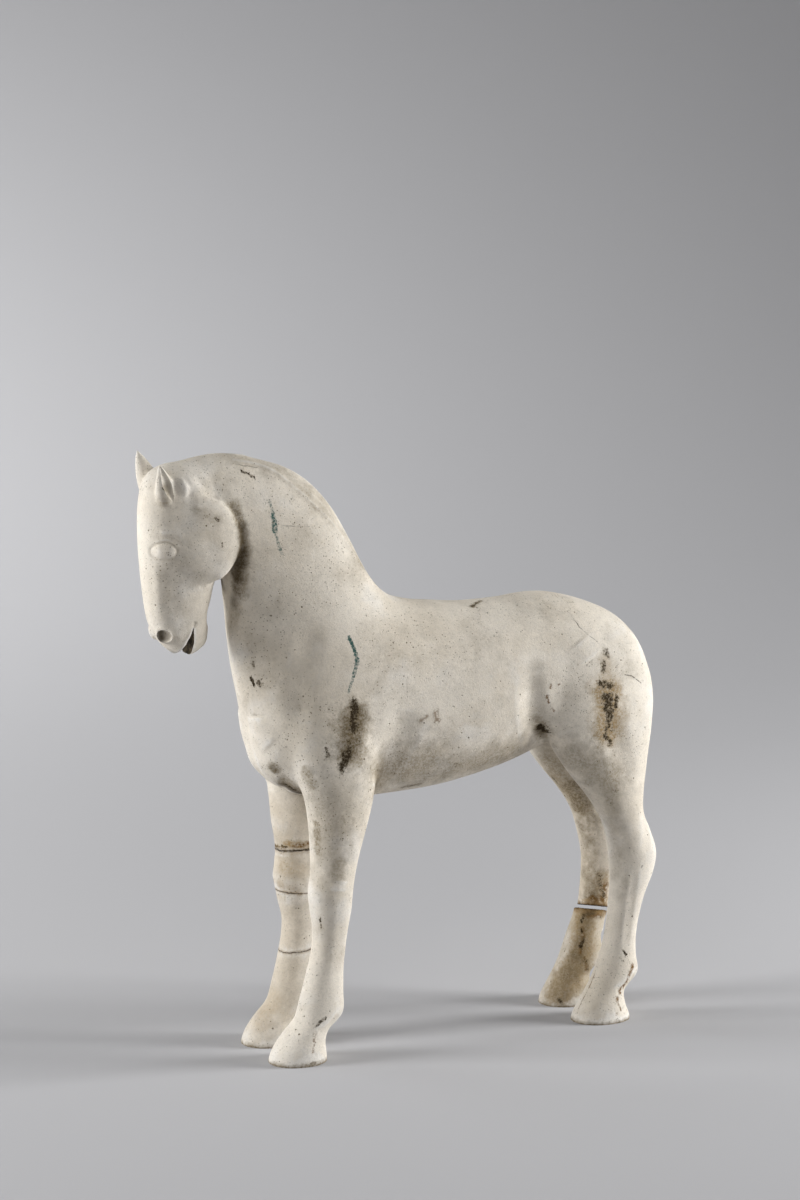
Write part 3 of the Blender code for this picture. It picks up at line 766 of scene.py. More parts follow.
# Marks on the skin, in mm from the finished horse's origin: from (x, y, z), to (x, y, z), half width,
# strength. These are nearly black: stains, and painted shade under the breast, in the flank's crease and in
# the ear's slit.
EARTH_AND_SHADE_MARKS = [
    # The left shoulder.
    ((-75, -56, 333), (-76, -59, 308), 7.0, 0.88),
    ((-77, -59, 305), (-83, -60, 290), 5.5, 0.55),
    ((-88, -61, 275), (-83, -60, 288), 7.5, 0.85),
    ((-102, -59, 293), (-101, -59, 287), 3.0, 0.7),
    # The breast.
    ((-158, -24, 370), (-158, -24, 366), 2.6, 0.7),
    ((-159, -20, 356), (-157, -22, 350), 2.8, 0.9),
    ((-153, -26, 353), (-151, -27, 350), 3.4, 0.7),
    # Painted shadow, with soil, under the breast.
    ((-116, -19, 250), (-125, -19, 254), 4.0, 0.75),
    # Behind the arm, on the belly and the flank.
    ((5, -29, 245), (-10, -28, 243), 4.5, 0.5),
    ((35, -43, 264), (36, -43, 263), 3.6, 0.5),
    # Painted shade at the foot of the flank's crease.
    ((122, -42, 291), (128, -41, 286), 6.0, 1.0),
    ((64, -17, 406), (76, -8, 409), 2.4, 0.8),
    # The left hip.
    ((185, -54, 361), (185, -55, 356), 5.0, 0.6),
    ((182, -56, 349), (182, -57, 343), 5.5, 0.7),
    ((176, -58, 332), (188, -59, 328), 5.5, 0.75),
    ((183, -60, 318), (185, -61, 305), 8.5, 0.8),
    ((185, -61, 302), (185, -61, 286), 8.0, 0.76),
    ((194, -60, 316), (193, -60, 308), 4.5, 0.8),
    ((183, -60, 281), (186, -60, 274), 5.5, 0.8),
    ((194, -59, 263), (194, -59, 261), 3.0, 0.5),
    ((198, -55, 227), (198, -54, 225), 3.0, 0.5),
    # The head and the neck.
    ((-197, -33, 503), (-195, -33, 501), 2.4, 0.6),
    ((-190, -34, 480), (-190, -34, 478), 2.0, 0.8),
    ((-165, -16, 541), (-152, -18, 535), 2.2, 0.8),
    ((-240, -25, 543), (-235, -26, 531), 1.6, 0.9),
    # Painted shade in the near ear's slit.
    ((-247, -26, 541), (-238, -26, 525), 1.3, 0.9),
    ((-237, -19, 358), (-238, -20, 357), 3.0, 0.8),
    ((-240, -18, 362), (-238, -19, 366), 3.0, 0.8),
    # The near pastern's dark line, and dark blotches at the soles.
    ((-100, -51, 43), (-110, -51, 35), 2.0, 0.6),
    ((-122, -56, 2), (-114, -56, 3), 2.0, 0.6),
    ((-140, -54, 4), (-139, -54, 2), 2.0, 0.6),
    ((209, -48, 69), (212, -48, 64), 2.0, 0.9),
    ((207, -48, 62), (210, -48, 58), 1.6, 0.8),
    ((220, -48, 101), (220, -48, 100), 1.4, 0.7),
    ((228, -51, 149), (228, -51, 148), 1.4, 0.7),
    ((-101, -45, 152), (-100, -45, 149), 3.0, 1.0),
    ((-82, -45, 147), (-82, -45, 142), 2.8, 1.0),
    ((-103, -44, 133), (-102, -44, 124), 2.2, 0.8),
    ((-97, -45, 84), (-90, -46, 92), 2.0, 0.7),
    # The right hind leg.
    ((172, 30, 223), (179, 30, 221), 3.4, 0.6),
    ((-112, 38, 185), (-108, 20, 186), 3.0, 1.0),
    ((189, 34, 206), (189, 34, 204), 2.5, 0.7),
    ((222, 20, 124), (224, 18, 106), 6.0, 0.62),
    # The right side.
    ((-60, 57, 320), (-66, 58, 296), 6.0, 0.8),
    ((150, 58, 330), (156, 59, 306), 5.5, 0.8),
    ((60, 54, 350), (66, 54, 344), 4.0, 0.5),
    ((-150, 30, 470), (-144, 31, 462), 4.0, 0.6),
]
# Deep brown painted shade without grain, in creases and under overhangs, with the soil that lies there, and
# the darker middles of two stains.
SHADE_MARKS = [
    # Painted shadow behind the cheek, in the nostril, under the jaw and under the breast.
    ((-176, -27, 510), (-170, -28, 492), 6, 0.35),
    ((-170, -28, 492), (-168, -28, 468), 10, 0.80),
    ((-170, -27, 470), (-173, -22, 448), 13, 0.95),
    ((-171, -21, 448), (-172, -12, 424), 10, 0.5),
    ((-241, -12, 401), (-240, -10, 396), 6, 0.9),
    ((-223, 0, 400), (-223, 0, 376), 12, 0.5),
    ((-106, -16, 244), (-126, -16, 252), 8, 0.75),
    # Two stains: the chest's spot and the shoulder's halo.
    ((-139, -24, 273), (-139, -25, 270), 6, 0.5),
    ((-73, -57, 318), (-79, -59, 292), 19, 0.5),
    # Painted shade in the flank's crease, between the forelegs, behind the right cheek, in the right flank
    # and in the right ear's slit.
    ((112, -50, 348), (117, -45, 302), 14, 0.32),
    ((120, -40, 292), (132, -30, 284), 8, 0.85),
    ((-100, -18, 252), (-104, -22, 270), 6, 0.35),
    ((-170, 28, 500), (-166, 27, 470), 8, 0.85),
    ((-167, 26, 472), (-172, 14, 438), 9, 0.85),
    ((120, 40, 292), (132, 30, 284), 8, 0.85),
    ((-246, 26, 540), (-238, 26, 524), 4, 0.5),
]
# Soft brown soiling, and soft painted shade under the breast, on the forearm, low on the barrel, on the lower
# thigh, in the flank's crease and on the neck behind the cheek.
SOIL_AND_SHADE_MARKS = [
    ((-75, -58, 318), (-80, -60, 290), 27, 1.0),
    ((-139, -24, 273), (-139, -25, 269), 9, 1.0),
    # Painted shadow, with soil, under the breast.
    ((-104, -20, 245), (-128, -20, 258), 12, 0.80),
    ((-118, -48, 273), (-112, -50, 258), 9, 0.70),
    ((-107, -44, 222), (-105, -43, 196), 8, 0.85),
    ((-88, -52, 186), (-90, -52, 176), 14, 0.60),
    ((-86, -58, 228), (-84, -58, 224), 5, 0.60),
    ((-76, -57, 226), (-75, -57, 222), 4, 0.45),
    ((-98, -46, 168), (-97, -47, 100), 12, 0.25),
    # Painted shade on the forearm, low on the barrel and on the lower thigh.
    ((-96, -56, 250), (-95, -52, 200), 30, 0.40),
    ((-40, -45, 262), (0, -50, 272), 36, 0.65),
    ((-10, -45, 250), (100, -42, 268), 28, 0.60),
    ((158, -50, 262), (186, -54, 240), 30, 0.60),
    ((176, -52, 232), (196, -55, 222), 14, 0.34),
    ((213, -46, 136), (212, -47, 132), 8, 0.30),
    ((194, -51, 214), (201, -42, 178), 13, 0.40),
    ((201, -42, 178), (205, -38, 144), 12, 0.36),
    # Painted shade in the flank's crease.
    ((118, -42, 296), (128, -36, 284), 13, 0.70),
    # Painted shadow, with soil, on the neck behind the cheek and down its front edge.
    ((-176, -26, 512), (-166, -28, 470), 10, 0.85),
    ((-167, -26, 470), (-171, -20, 434), 13, 0.8),
    ((-171, -16, 424), (-172, -6, 400), 12, 0.4),
    ((-178, -2, 398), (-180, -4, 340), 9, 0.32),
    ((-142, -37, 386), (-140, -37, 350), 24, 0.14),
    ((-120, -44, 360), (-112, -48, 340), 20, 0.15),
    ((-206, -34, 500), (-196, -34, 470), 16, 0.25),
    ((-212, -33, 510), (-196, -33, 500), 9, 0.50),
    ((-226, -28, 462), (-214, -30, 450), 15, 0.34),
    ((4, -56, 314), (-6, -56, 311), 10, 0.20),
    ((63, -18, 405), (77, -7, 409), 4.0, 1.0),
    ((-175, -6, 552), (-135, -8, 541), 13, 0.45),
    ((-135, -8, 541), (-100, -10, 516), 14, 0.50),
    ((-100, -10, 516), (-70, -11, 478), 14, 0.55),
    ((-70, -11, 478), (-52, -12, 452), 14, 0.55),
    ((-240, -22, 528), (-240, -22, 518), 7, 0.55),
    ((-62, 57, 322), (-66, 58, 292), 18, 0.8),
    ((152, 58, 332), (158, 59, 300), 18, 0.7),
    # Painted shadow, with soil, on the right of the neck behind the cheek.
    ((-170, 18, 470), (-171, 14, 430), 12, 0.9),
    # Painted shade low on the right barrel, and soil with painted shade on the right hind leg's inner face.
    ((20, 50, 262), (80, 46, 270), 20, 0.4),
    ((165, 22, 250), (188, 20, 205), 22, 0.6),
    ((190, 16, 215), (204, 16, 110), 26, 0.9),
    ((170, 52, 250), (190, 54, 236), 20, 0.4),
]
# Light brown haloes.
TAN_MARKS = [
    ((183, -60, 322), (185, -61, 286), 24, 1.0),
    ((184, -57, 352), (184, -58, 336), 10, 0.40),
    ((-108, 20, 190), (-92, 12, 189), 6, 1.0),
    ((-110, 24, 168), (-96, 14, 164), 12, 0.35),
    ((-112, 26, 150), (-98, 15, 144), 7, 0.45),
    ((-118, 26, 40), (-130, 24, 20), 16, 0.35),
    ((224, 20, 122), (224, 18, 100), 12, 0.8),
    ((200, 30, 100), (222, 19, 97), 6, 0.75),
    ((178, 28, 228), (206, 20, 190), 10, 0.35),
    ((150, 58, 320), (156, 58, 300), 16, 0.5),
]
# Red-brown, close to the skin's cracks and the break.
RUST_MARKS = [
    ((136, -54, 332), (135, -54, 331), 1.8, 1.0),
    ((127, -54, 333), (127, -53, 329), 1.8, 1.0),
    ((125, -52, 323), (126, -52, 316), 2.2, 1.0),
    ((128, -51, 313), (131, -51, 308), 2.0, 0.9),
    ((8, -56, 318), (10, -56, 309), 3.8, 0.7),
    ((-2, -56, 314), (-8, -56, 310), 3.6, 0.6),
    ((220, -49, 53), (213, -49, 37), 3.8, 1.0),
    ((213, -49, 36), (206, -50, 29), 3.4, 1.0),
    ((202, -52, 24), (202, -52, 22), 3.2, 1.0),
    ((202, -52, 21), (206, -53, 12), 1.9, 1.0),
    ((200, -55, 10), (199, -55, 9), 2.0, 0.9),
    ((190, -32, 48), (169, -33, 9), 1.3, 0.9),
    ((-111, -52, 30), (-115, -55, 13), 2.2, 0.8),
    ((199, 29, 189), (211, 15, 191), 1.8, 0.9),
    ((226, 17, 114), (224, 18, 99), 8.0, 1.0),
    ((214, 21, 102), (226, 20, 96), 6.0, 1.0),
    ((203, 31, 101), (207, 24, 97), 3.4, 0.9),
    ((-101, 15, 188), (-88, 12, 190), 3.6, 1.0),
]
# Green pigment, in two broken strokes.
GREEN_MARKS = [
    ((-141, -24, 515), (-139, -27, 501), 2.4, 0.52),
    ((-139, -27, 502), (-138, -29, 487), 3.6, 0.76),
    ((-138, -30, 484), (-133, -32, 467), 2.4, 0.56),
    ((-75, -49, 391), (-71, -52, 378), 2.8, 0.9),
    ((-71, -52, 378), (-69, -53, 369), 3.0, 0.75),
    ((-69, -54, 369), (-75, -55, 354), 2.8, 0.7),
    ((-75, -55, 354), (-79, -56, 342), 2.2, 0.62),
]
# Fine dark cracks in the slip.
HAIRLINES = [
    ((154, -35, 397), (161, -46, 383), 0.8, 0.8),
    ((161, -46, 383), (168, -49, 376), 0.7, 0.8),
    ((168, -49, 376), (176, -52, 369), 0.8, 0.8),
    ((204, -57, 337), (212, -56, 335), 0.8, 0.9),
    ((212, -56, 335), (223, -54, 327), 0.8, 0.9),
    ((220, -51, 347), (236, -45, 332), 0.7, 0.7),
    ((-168, -13, 547), (-148, -13, 543), 0.8, 0.5),
    ((-131, -29, 492), (-104, -27, 490), 0.7, 0.5),
    ((-146, -3, 548), (-132, -3, 542), 1.0, 0.9),
    ((80, 50, 372), (96, 52, 352), 0.7, 0.7),
    ((96, 52, 352), (104, 53, 330), 0.7, 0.7),
]
# Where the right legs are a warmer beige.
WARM_MARKS = [
    ((-112, 33, 215), (-112, 33, 110), 34, 0.8),
    ((-112, 33, 110), (-125, 33, 0), 36, 0.9),
    ((180, 33, 260), (205, 33, 120), 36, 1.0),
]
# On the fallen hoof.
HOOF_EARTH = [
    ((203, 20, 93), (214, 17, 90), 6.5, 1.0),
    ((206, 22, 88), (204, 22, 80), 4.5, 0.7),
    ((203, 20, 73), (203, 20, 70), 3.4, 0.7),
    ((204, 18, 64), (201, 18, 56), 3.0, 0.75),
    ((204, 15, 42), (206, 15, 36), 5.0, 0.45),
    ((176, 15, 8), (177, 15, 4), 3.0, 0.7),
    ((220, 45, 60), (222, 44, 50), 4.0, 0.6),
]
HOOF_SOIL = [
    ((204, 24, 92), (226, 20, 88), 10, 1.0),
    ((206, 20, 84), (199, 18, 46), 13, 0.80),
    ((176, 20, 16), (196, 16, 40), 22, 0.70),
    ((164, 24, 6), (186, 18, 10), 10, 0.45),
    ((186, 50, 24), (196, 50, 30), 12, 0.5),
    ((228, 38, 90), (214, 52, 86), 8, 0.9),
]
HOOF_TAN = [
    ((206, 22, 90), (202, 18, 50), 16, 0.9),
    ((196, 16, 40), (178, 18, 12), 20, 0.8),
    ((214, 50, 88), (210, 50, 60), 14, 0.6),
]
HOOF_RUST = [
    ((206, 22, 89), (222, 18, 87), 6.0, 1.0),
    ((204, 20, 80), (203, 19, 66), 3.6, 0.9),
    ((202, 18, 62), (199, 18, 50), 3.0, 0.9),
    ((203, 15, 46), (205, 15, 34), 3.0, 0.7),
]


def add(tree, kind, inputs=(), **settings):
    """A node with its settings, and its inputs set or joined."""
    node = tree.nodes.new("ShaderNode" + kind)
    for name, value in settings.items():
        setattr(node, name, value)
    for key, value in dict(inputs).items():
        if isinstance(value, bpy.types.NodeSocket):
            tree.links.new(value, node.inputs[key])
        else:
            node.inputs[key].default_value = value
    return node


def calc(tree, operation, *values):
    """One sum on numbers."""
    return add(tree, "Math", dict(enumerate(values)), operation=operation).outputs[0]


def times(tree, first, second):
    return calc(tree, "MULTIPLY", first, second)


def graded(tree, value, share, start):
    """The value times the share, plus the start."""
    return calc(tree, "MULTIPLY_ADD", value, share, start)


def held(tree, value):
    """The value held between 0 and 1."""
    return add(tree, "Clamp", {"Value": value}).outputs[0]


def vector(tree, operation, *values, out="Vector"):
    """One sum on vectors. out is Value where it gives a number."""
    return add(tree, "VectorMath", dict(enumerate(values)), operation=operation).outputs[out]


def ramp(tree, value, low, high):
    """0 at low and 1 at high, smoothly. Low may be the greater."""
    return add(
        tree, "MapRange", {"Value": value, "From Min": low, "From Max": high}, interpolation_type="SMOOTHSTEP"
    ).outputs["Result"]


def mix(tree, share, first, second, blend="MIX"):
    """The first colour, with this share of the second laid over it."""
    node = add(tree, "Mix", {"Factor": share}, data_type="RGBA", blend_type=blend)
    for socket, value in ((node.inputs[6], first), (node.inputs[7], second)):
        if isinstance(value, bpy.types.NodeSocket):
            tree.links.new(value, socket)
        else:
            socket.default_value = (*value, 1.0)
    return node.outputs[2]


def new_group(name, inputs, outputs):
    """An empty node group with named sockets. inputs are (name, kind, value)."""
    tree = bpy.data.node_groups.new(name, "ShaderNodeTree")
    for label, kind, value in inputs:
        socket = tree.interface.new_socket(label, in_out="INPUT", socket_type="NodeSocket" + kind)
        socket.default_value = value
    for label, kind in outputs:
        tree.interface.new_socket(label, in_out="OUTPUT", socket_type="NodeSocket" + kind)
    return tree, tree.nodes.new("NodeGroupInput").outputs, tree.nodes.new("NodeGroupOutput").inputs


PLACE = ("Place", "Vector", (0, 0, 0))


def mark_group():
    """A ragged mark along a straight stroke from one place to another."""
    inputs = [
        PLACE, ("From", "Vector", (0, 0, 0)), ("To", "Vector", (0, 0, 0.01)),
        ("Width", "Float", 0.005), ("Break Up", "Float", 0.0), ("Ragged", "Float", 0.8),
        ("Core", "Float", 0.25), ("Strength", "Float", 1.0),
    ]
    tree, given, result = new_group("Stroke mark", inputs, [("Mask", "Float")])
    run = vector(tree, "SUBTRACT", given["To"], given["From"])
    reach = vector(tree, "SUBTRACT", given["Place"], given["From"])
    passed = vector(tree, "DOT_PRODUCT", reach, run, out="Value")
    whole = vector(tree, "DOT_PRODUCT", run, run, out="Value")
    share = held(tree, calc(tree, "DIVIDE", passed, whole))
    scaled = add(tree, "VectorMath", {0: run, "Scale": share}, operation="SCALE").outputs["Vector"]
    away = vector(tree, "LENGTH", vector(tree, "SUBTRACT", reach, scaled), out="Value")
    widths = calc(tree, "DIVIDE", away, given["Width"])
    ragged = graded(tree, given["Break Up"], given["Ragged"], widths)
    mask = times(tree, ramp(tree, ragged, 1.0, given["Core"]), given["Strength"])
    tree.links.new(mask, result["Mask"])
    return tree


def seam_group():
    """A ragged line where a plane crosses the skin, near one place."""
    inputs = [
        PLACE, ("Centre", "Vector", (0, 0, 0)), ("Across", "Vector", (0, 0, 1)), ("Width", "Float", 0.001),
        ("Reach", "Float", 0.04), ("Break Up", "Float", 0.0), ("Ragged", "Float", 0.8),
    ]
    tree, given, result = new_group("Broken seam", inputs, [("Mask", "Float")])
    reach = vector(tree, "SUBTRACT", given["Place"], given["Centre"])
    height = calc(tree, "ABSOLUTE", vector(tree, "DOT_PRODUCT", reach, given["Across"], out="Value"))
    widths = calc(tree, "DIVIDE", height, given["Width"])
    ragged = graded(tree, given["Break Up"], given["Ragged"], widths)
    near = calc(tree, "DIVIDE", vector(tree, "LENGTH", reach, out="Value"), given["Reach"])
    mask = times(tree, ramp(tree, ragged, 1.0, 0.3), ramp(tree, near, 1.0, 0.9))
    tree.links.new(mask, result["Mask"])
    return tree


def pinhole_group():
    """Small scattered holes of unlike sizes."""
    inputs = [PLACE, ("Density", "Float", 200.0), ("Size", "Float", 0.25), ("Amount", "Float", 0.4)]
    tree, given, result = new_group("Pinholes", inputs, [("Mask", "Float")])
    cells = add(tree, "TexVoronoi", {"Vector": given["Place"], "Scale": given["Density"]}, feature="F1")
    chosen = add(tree, "SeparateColor", {"Color": cells.outputs["Color"]})
    there = calc(tree, "GREATER_THAN", given["Amount"], chosen.outputs[0])
    size = times(tree, given["Size"], graded(tree, chosen.outputs[1], 0.8, 0.3))
    edge = held(tree, calc(tree, "SUBTRACT", 1.0, calc(tree, "DIVIDE", cells.outputs["Distance"], size)))
    tree.links.new(times(tree, there, ramp(tree, edge, 0.0, 0.7)), result["Mask"])
    return tree


def cloud_group():
    """Soft clouds, from none below Low to all of it above High."""
    inputs = [
        PLACE, ("Scale", "Float", 20.0), ("Detail", "Float", 4.0), ("Roughness", "Float", 0.55),
        ("Low", "Float", 0.4), ("High", "Float", 0.65),
    ]
    tree, given, result = new_group("Clouding", inputs, [("Mask", "Float")])
    settings = {key: given[key] for key in ("Scale", "Detail", "Roughness")}
    noise = add(tree, "TexNoise", settings | {"Vector": given["Place"]})
    tree.links.new(ramp(tree, noise.outputs[0], given["Low"], given["High"]), result["Mask"])
    return tree


def grain_group():
    """The clay's grain at three sizes: Grains, Fine and Coarse."""
    inputs = [PLACE, ("Scale", "Float", 1.0)]
    outputs = ("Grains", "Fine", "Coarse")
    tree, given, result = new_group("Clay grain", inputs, [(name, "Float") for name in outputs])
    for name, density, roughness in zip(outputs, (500.0, 300.0, 80.0), (0.75, 0.68, 0.62)):
        scale = times(tree, given["Scale"], density)
        settings = {"Vector": given["Place"], "Scale": scale, "Detail": 5.0, "Roughness": roughness}
        tree.links.new(add(tree, "TexNoise", settings).outputs[0], result[name])
    return tree


def hollow_group():
    """Soil and painted shade, darkening the hollows of the skin."""
    inputs = [("Fine Hollow", "Float", 0.0), ("Broad Hollow", "Float", 0.0), ("Break Up", "Float", 0.0)]
    tree, given, result = new_group("Settled soil", inputs, [("Mask", "Float")])
    narrow = ramp(tree, calc(tree, "ADD", given["Fine Hollow"], given["Break Up"]), 0.30, 1.0)
    broad = ramp(tree, calc(tree, "ADD", given["Broad Hollow"], given["Break Up"]), 0.35, 1.2)
    hollow_soil_and_shade = calc(tree, "MAXIMUM", times(tree, narrow, 0.42), times(tree, broad, 0.5))
    tree.links.new(hollow_soil_and_shade, result["Mask"])
    return tree


def rubbed_group():
    """Slip rubbed pale where the skin stands proud."""
    inputs = [("Fine Hollow", "Float", 0.0), ("Break Up", "Float", 0.0), ("Amount", "Float", 0.6)]
    tree, given, result = new_group("Rubbed edges", inputs, [("Mask", "Float")])
    proud = ramp(tree, graded(tree, given["Break Up"], 0.5, given["Fine Hollow"]), -0.25, -0.95)
    tree.links.new(times(tree, proud, given["Amount"]), result["Mask"])
    return tree


GROUPS = {
    "mark": mark_group(), "seam": seam_group(), "pinholes": pinhole_group(), "cloud": cloud_group(),
    "grain": grain_group(), "hollow": hollow_group(), "rubbed": rubbed_group(),
}


def use(tree, group, **inputs):
    """One copy of a node group in a material: its only output, or all of them."""
    node = tree.nodes.new("ShaderNodeGroup")
    node.node_tree = GROUPS[group]
    for key, value in inputs.items():
        socket = node.inputs[key.replace("_", " ")]
        if isinstance(value, bpy.types.NodeSocket):
            tree.links.new(value, socket)
        else:
            socket.default_value = value
    return node.outputs[0] if len(node.outputs) == 1 else node.outputs


def grained(tree, mask, grains):
    """The mask broken into the clay's grains, the more the weaker it is."""
    return ramp(tree, graded(tree, grains, 2.4, mask), 1.50, 2.15)


def millimetres(place):
    """A place given in mm, in metres."""
    return tuple(value / 1000 for value in place)


def all_marks(tree, place, break_up, ragged, marks, core=0.25):
    """The strongest of the marks at each place. core is how far in they are at their fullest."""
    total = None
    for start, end, width, strength in marks:
        mask = use(
            tree, "mark", Place=place, From=millimetres(start), To=millimetres(end), Width=width / 1000,
            Break_Up=break_up, Ragged=ragged, Core=core, Strength=strength,
        )
        total = mask if total is None else calc(tree, "MAXIMUM", total, mask)
    return total


def new_material(name):
    """A material, its nodes and its shader."""
    material = bpy.data.materials.new(name)
    material.use_nodes = True
    return material, material.node_tree, material.node_tree.nodes["Principled BSDF"]


def raise_grain(tree, shader, height, strength, depth):
    """Gives the shader a bump of this height, at most as deep as depth."""
    bump = add(tree, "Bump", {"Height": height, "Strength": strength, "Distance": depth})
    tree.links.new(bump.outputs[0], shader.inputs["Normal"])


def slip_finish(name, white, wear, marks, seams):
    """White slip over fired clay: clouded, worn thin as much as wear says, soiled and stained, with painted
    shade in its hollows and creases.
    """
    material, tree, shader = new_material(name)
    place = add(tree, "TexCoord").outputs["Object"]
    noise = add(tree, "TexNoise", {"Vector": place, "Scale": 110.0, "Detail": 5.0, "Roughness": 0.65})
    strayed = vector(tree, "SUBTRACT", noise.outputs["Color"], (0.5, 0.5, 0.5))
    # Places that stray by up to 4 mm, for stains, and by up to 1.5 mm, for strokes.
    bent = vector(tree, "MULTIPLY_ADD", strayed, (0.008, 0.008, 0.008), place)
    nearly = vector(tree, "MULTIPLY_ADD", strayed, (0.003, 0.003, 0.003), place)
    grains, fine, coarse = use(tree, "grain", Place=place)
    grit = calc(tree, "SUBTRACT", fine, 0.5)
    drift = calc(tree, "SUBTRACT", coarse, 0.5)
    rough = calc(tree, "ADD", grit, drift)
    grainy = ramp(tree, calc(tree, "ADD", grains, times(tree, grit, 0.7)), 0.40, 0.58)

    # Clouded slip.
    wide = use(tree, "cloud", Place=place, Scale=9.0, Detail=5.0, Low=0.40, High=0.64)
    colour = mix(tree, times(tree, wide, 0.45 + wear * 0.4), white, CREAM)
    blotches = use(tree, "cloud", Place=bent, Scale=26.0, Detail=7.0, Roughness=0.66, Low=0.46, High=0.72)
    blotches = times(tree, blotches, graded(tree, grainy, 0.55, 0.30))
    colour = mix(tree, times(tree, blotches, 0.55 + wear * 0.5), colour, GREY)
    pale = use(tree, "cloud", Place=place, Scale=19.0, Detail=6.0, Low=0.52, High=0.70)
    colour = mix(tree, times(tree, pale, 0.45 - wear * 0.4), colour, RUBBED)
    # Worn thin, so that the clay shows as fine dots.
    patch = use(tree, "cloud", Place=place, Scale=24.0, Detail=6.0, Roughness=0.6, Low=0.36, High=0.62)
    thin = times(tree, ramp(tree, grains, 0.54, 0.70), graded(tree, patch, 0.75, 0.25))
    colour = mix(tree, times(tree, thin, 0.62 + wear * 0.3), colour, CLAY)
    if "warm" in marks:
        beige = all_marks(tree, place, drift, 0.8, marks["warm"])
        colour = mix(tree, times(tree, beige, 0.5), colour, mix(tree, fine, CREAM, TAN))

    # Soil and painted shade in the hollows, and slip rubbed pale on the edges.
    hollow = add(tree, "Attribute", attribute_name="hollow_fine").outputs["Fac"]
    broad = add(tree, "Attribute", attribute_name="hollow_broad").outputs["Fac"]
    hollow_soil_and_shade = use(tree, "hollow", Fine_Hollow=hollow, Broad_Hollow=broad, Break_Up=drift)
    colour = mix(tree, hollow_soil_and_shade, colour, SOIL_AND_SHADE_BROWN)
    colour = mix(tree, use(tree, "rubbed", Fine_Hollow=hollow, Break_Up=drift), colour, RUBBED)

    # Stains and painted shade: tan and brown haloes, brown soil with painted shade, deep painted shade, rust,
    # dark cores, and green pigment.
    some = graded(tree, grainy, 0.50, 0.50)
    tan = times(tree, all_marks(tree, bent, rough, 1.1, marks["tan"], 0.35), some)
    colour = mix(tree, tan, colour, TAN)
    # Soft brown soil, with painted shade on the low barrel, the forearm, the thigh, the flank and the neck.
    soft = times(tree, all_marks(tree, bent, rough, 1.3, marks["soil"], 0.2), some)
    colour = mix(tree, soft, colour, mix(tree, coarse, SOIL_AND_SHADE_BROWN, CLAY))
    # Deep brown painted shade, in creases and under overhangs.
    if "shade" in marks:
        shade = all_marks(tree, place, drift, 0.5, marks["shade"], 0.1)
        shade = times(tree, shade, graded(tree, grainy, 0.08, 0.9))
        colour = mix(tree, shade, colour, SHADE)
    brown = all_marks(tree, bent, rough, 1.6, marks["rust"])
    colour = mix(tree, times(tree, brown, ramp(tree, fine, 0.38, 0.52)), colour, RUST)
    # Nearly black stains, and painted shade under the breast, in the flank's crease and in the ear's slit.
    dark = all_marks(tree, bent, rough, 1.6, marks["earth"])
    colour = mix(tree, times(tree, dark, 0.6), colour, CLAY)
    colour = mix(tree, grained(tree, dark, grains), colour, DARK_EARTH_AND_SHADE)
    if "green" in marks:
        pigment = grained(tree, all_marks(tree, nearly, rough, 1.3, marks["green"], 0.4), grains)
        colour = mix(tree, pigment, colour, GREEN)
        lines = all_marks(tree, nearly, grit, 1.0, marks["hairlines"])
        colour = mix(tree, times(tree, lines, ramp(tree, coarse, 0.34, 0.48)), colour, DARK_EARTH_AND_SHADE)
    for centre, across, width, reach, tone, strength in seams:
        seam = use(
            tree, "seam", Place=nearly, Centre=millimetres(centre), Across=across, Width=width / 1000,
            Reach=reach / 1000, Break_Up=rough, Ragged=1.4,
        )
        seam = times(tree, seam, graded(tree, grainy, 0.5, 0.5))
        colour = mix(tree, times(tree, seam, strength), colour, tone)

    # Pinholes of two sizes, dark grains here and there, and the clay's own light and dark.
    holes = use(tree, "pinholes", Place=place, Density=150.0, Size=0.17, Amount=0.42)
    specks = use(tree, "pinholes", Place=bent, Density=320.0, Size=0.26, Amount=0.26)
    pits = calc(tree, "MAXIMUM", holes, times(tree, specks, 0.65))
    peppered = use(tree, "cloud", Place=place, Scale=13.0, Detail=3.0, Low=0.42, High=0.60)
    pepper = use(tree, "pinholes", Place=place, Density=430.0, Size=0.34, Amount=0.70)
    pepper = times(tree, pepper, peppered)
    colour = mix(tree, times(tree, pepper, 0.9), colour, SOIL_AND_SHADE_BROWN)
    colour = mix(tree, times(tree, pits, 0.9), colour, SOIL_AND_SHADE_BROWN)
    tone = graded(tree, grains, 0.80, graded(tree, coarse, 0.30, 0.45))
    light = add(tree, "CombineColor", {0: tone, 1: tone, 2: tone}).outputs[0]
    colour = mix(tree, 1.0, colour, light, "MULTIPLY")
    tree.links.new(colour, shader.inputs["Base Color"])

    # The clay's grain and its pits.
    height = graded(tree, fine, 0.5, times(tree, grains, 0.4))
    height = graded(tree, coarse, 0.3, height)
    height = calc(tree, "SUBTRACT", height, times(tree, pits, 0.9))
    raise_grain(tree, shader, height, 0.75, 0.0009)
    tree.links.new(graded(tree, coarse, 0.22, 0.72), shader.inputs["Roughness"])
    shader.inputs["Specular IOR Level"].default_value = 0.15
    return material


def bare_finish(name, clay, stain, share):
    """Fired clay where the slip is gone: gritty, with stain in its hollows."""
    material, tree, shader = new_material(name)
    place = add(tree, "TexCoord").outputs["Object"]
    cloud = use(
        tree, "cloud", Place=place, Scale=130.0, Detail=6.0, Roughness=0.7,
        Low=share - 0.12, High=share + 0.12,
    )
    grit = use(tree, "grain", Place=place, Scale=1.4)["Grains"]
    colour = mix(tree, cloud, stain, clay)
    colour = mix(tree, times(tree, ramp(tree, grit, 0.55, 0.68), 0.5), colour, GREY)
    tree.links.new(colour, shader.inputs["Base Color"])
    height = graded(tree, grit, 0.6, cloud)
    raise_grain(tree, shader, height, 0.7, 0.0006)
    tree.links.new(graded(tree, grit, 0.2, 0.78), shader.inputs["Roughness"])
    return material


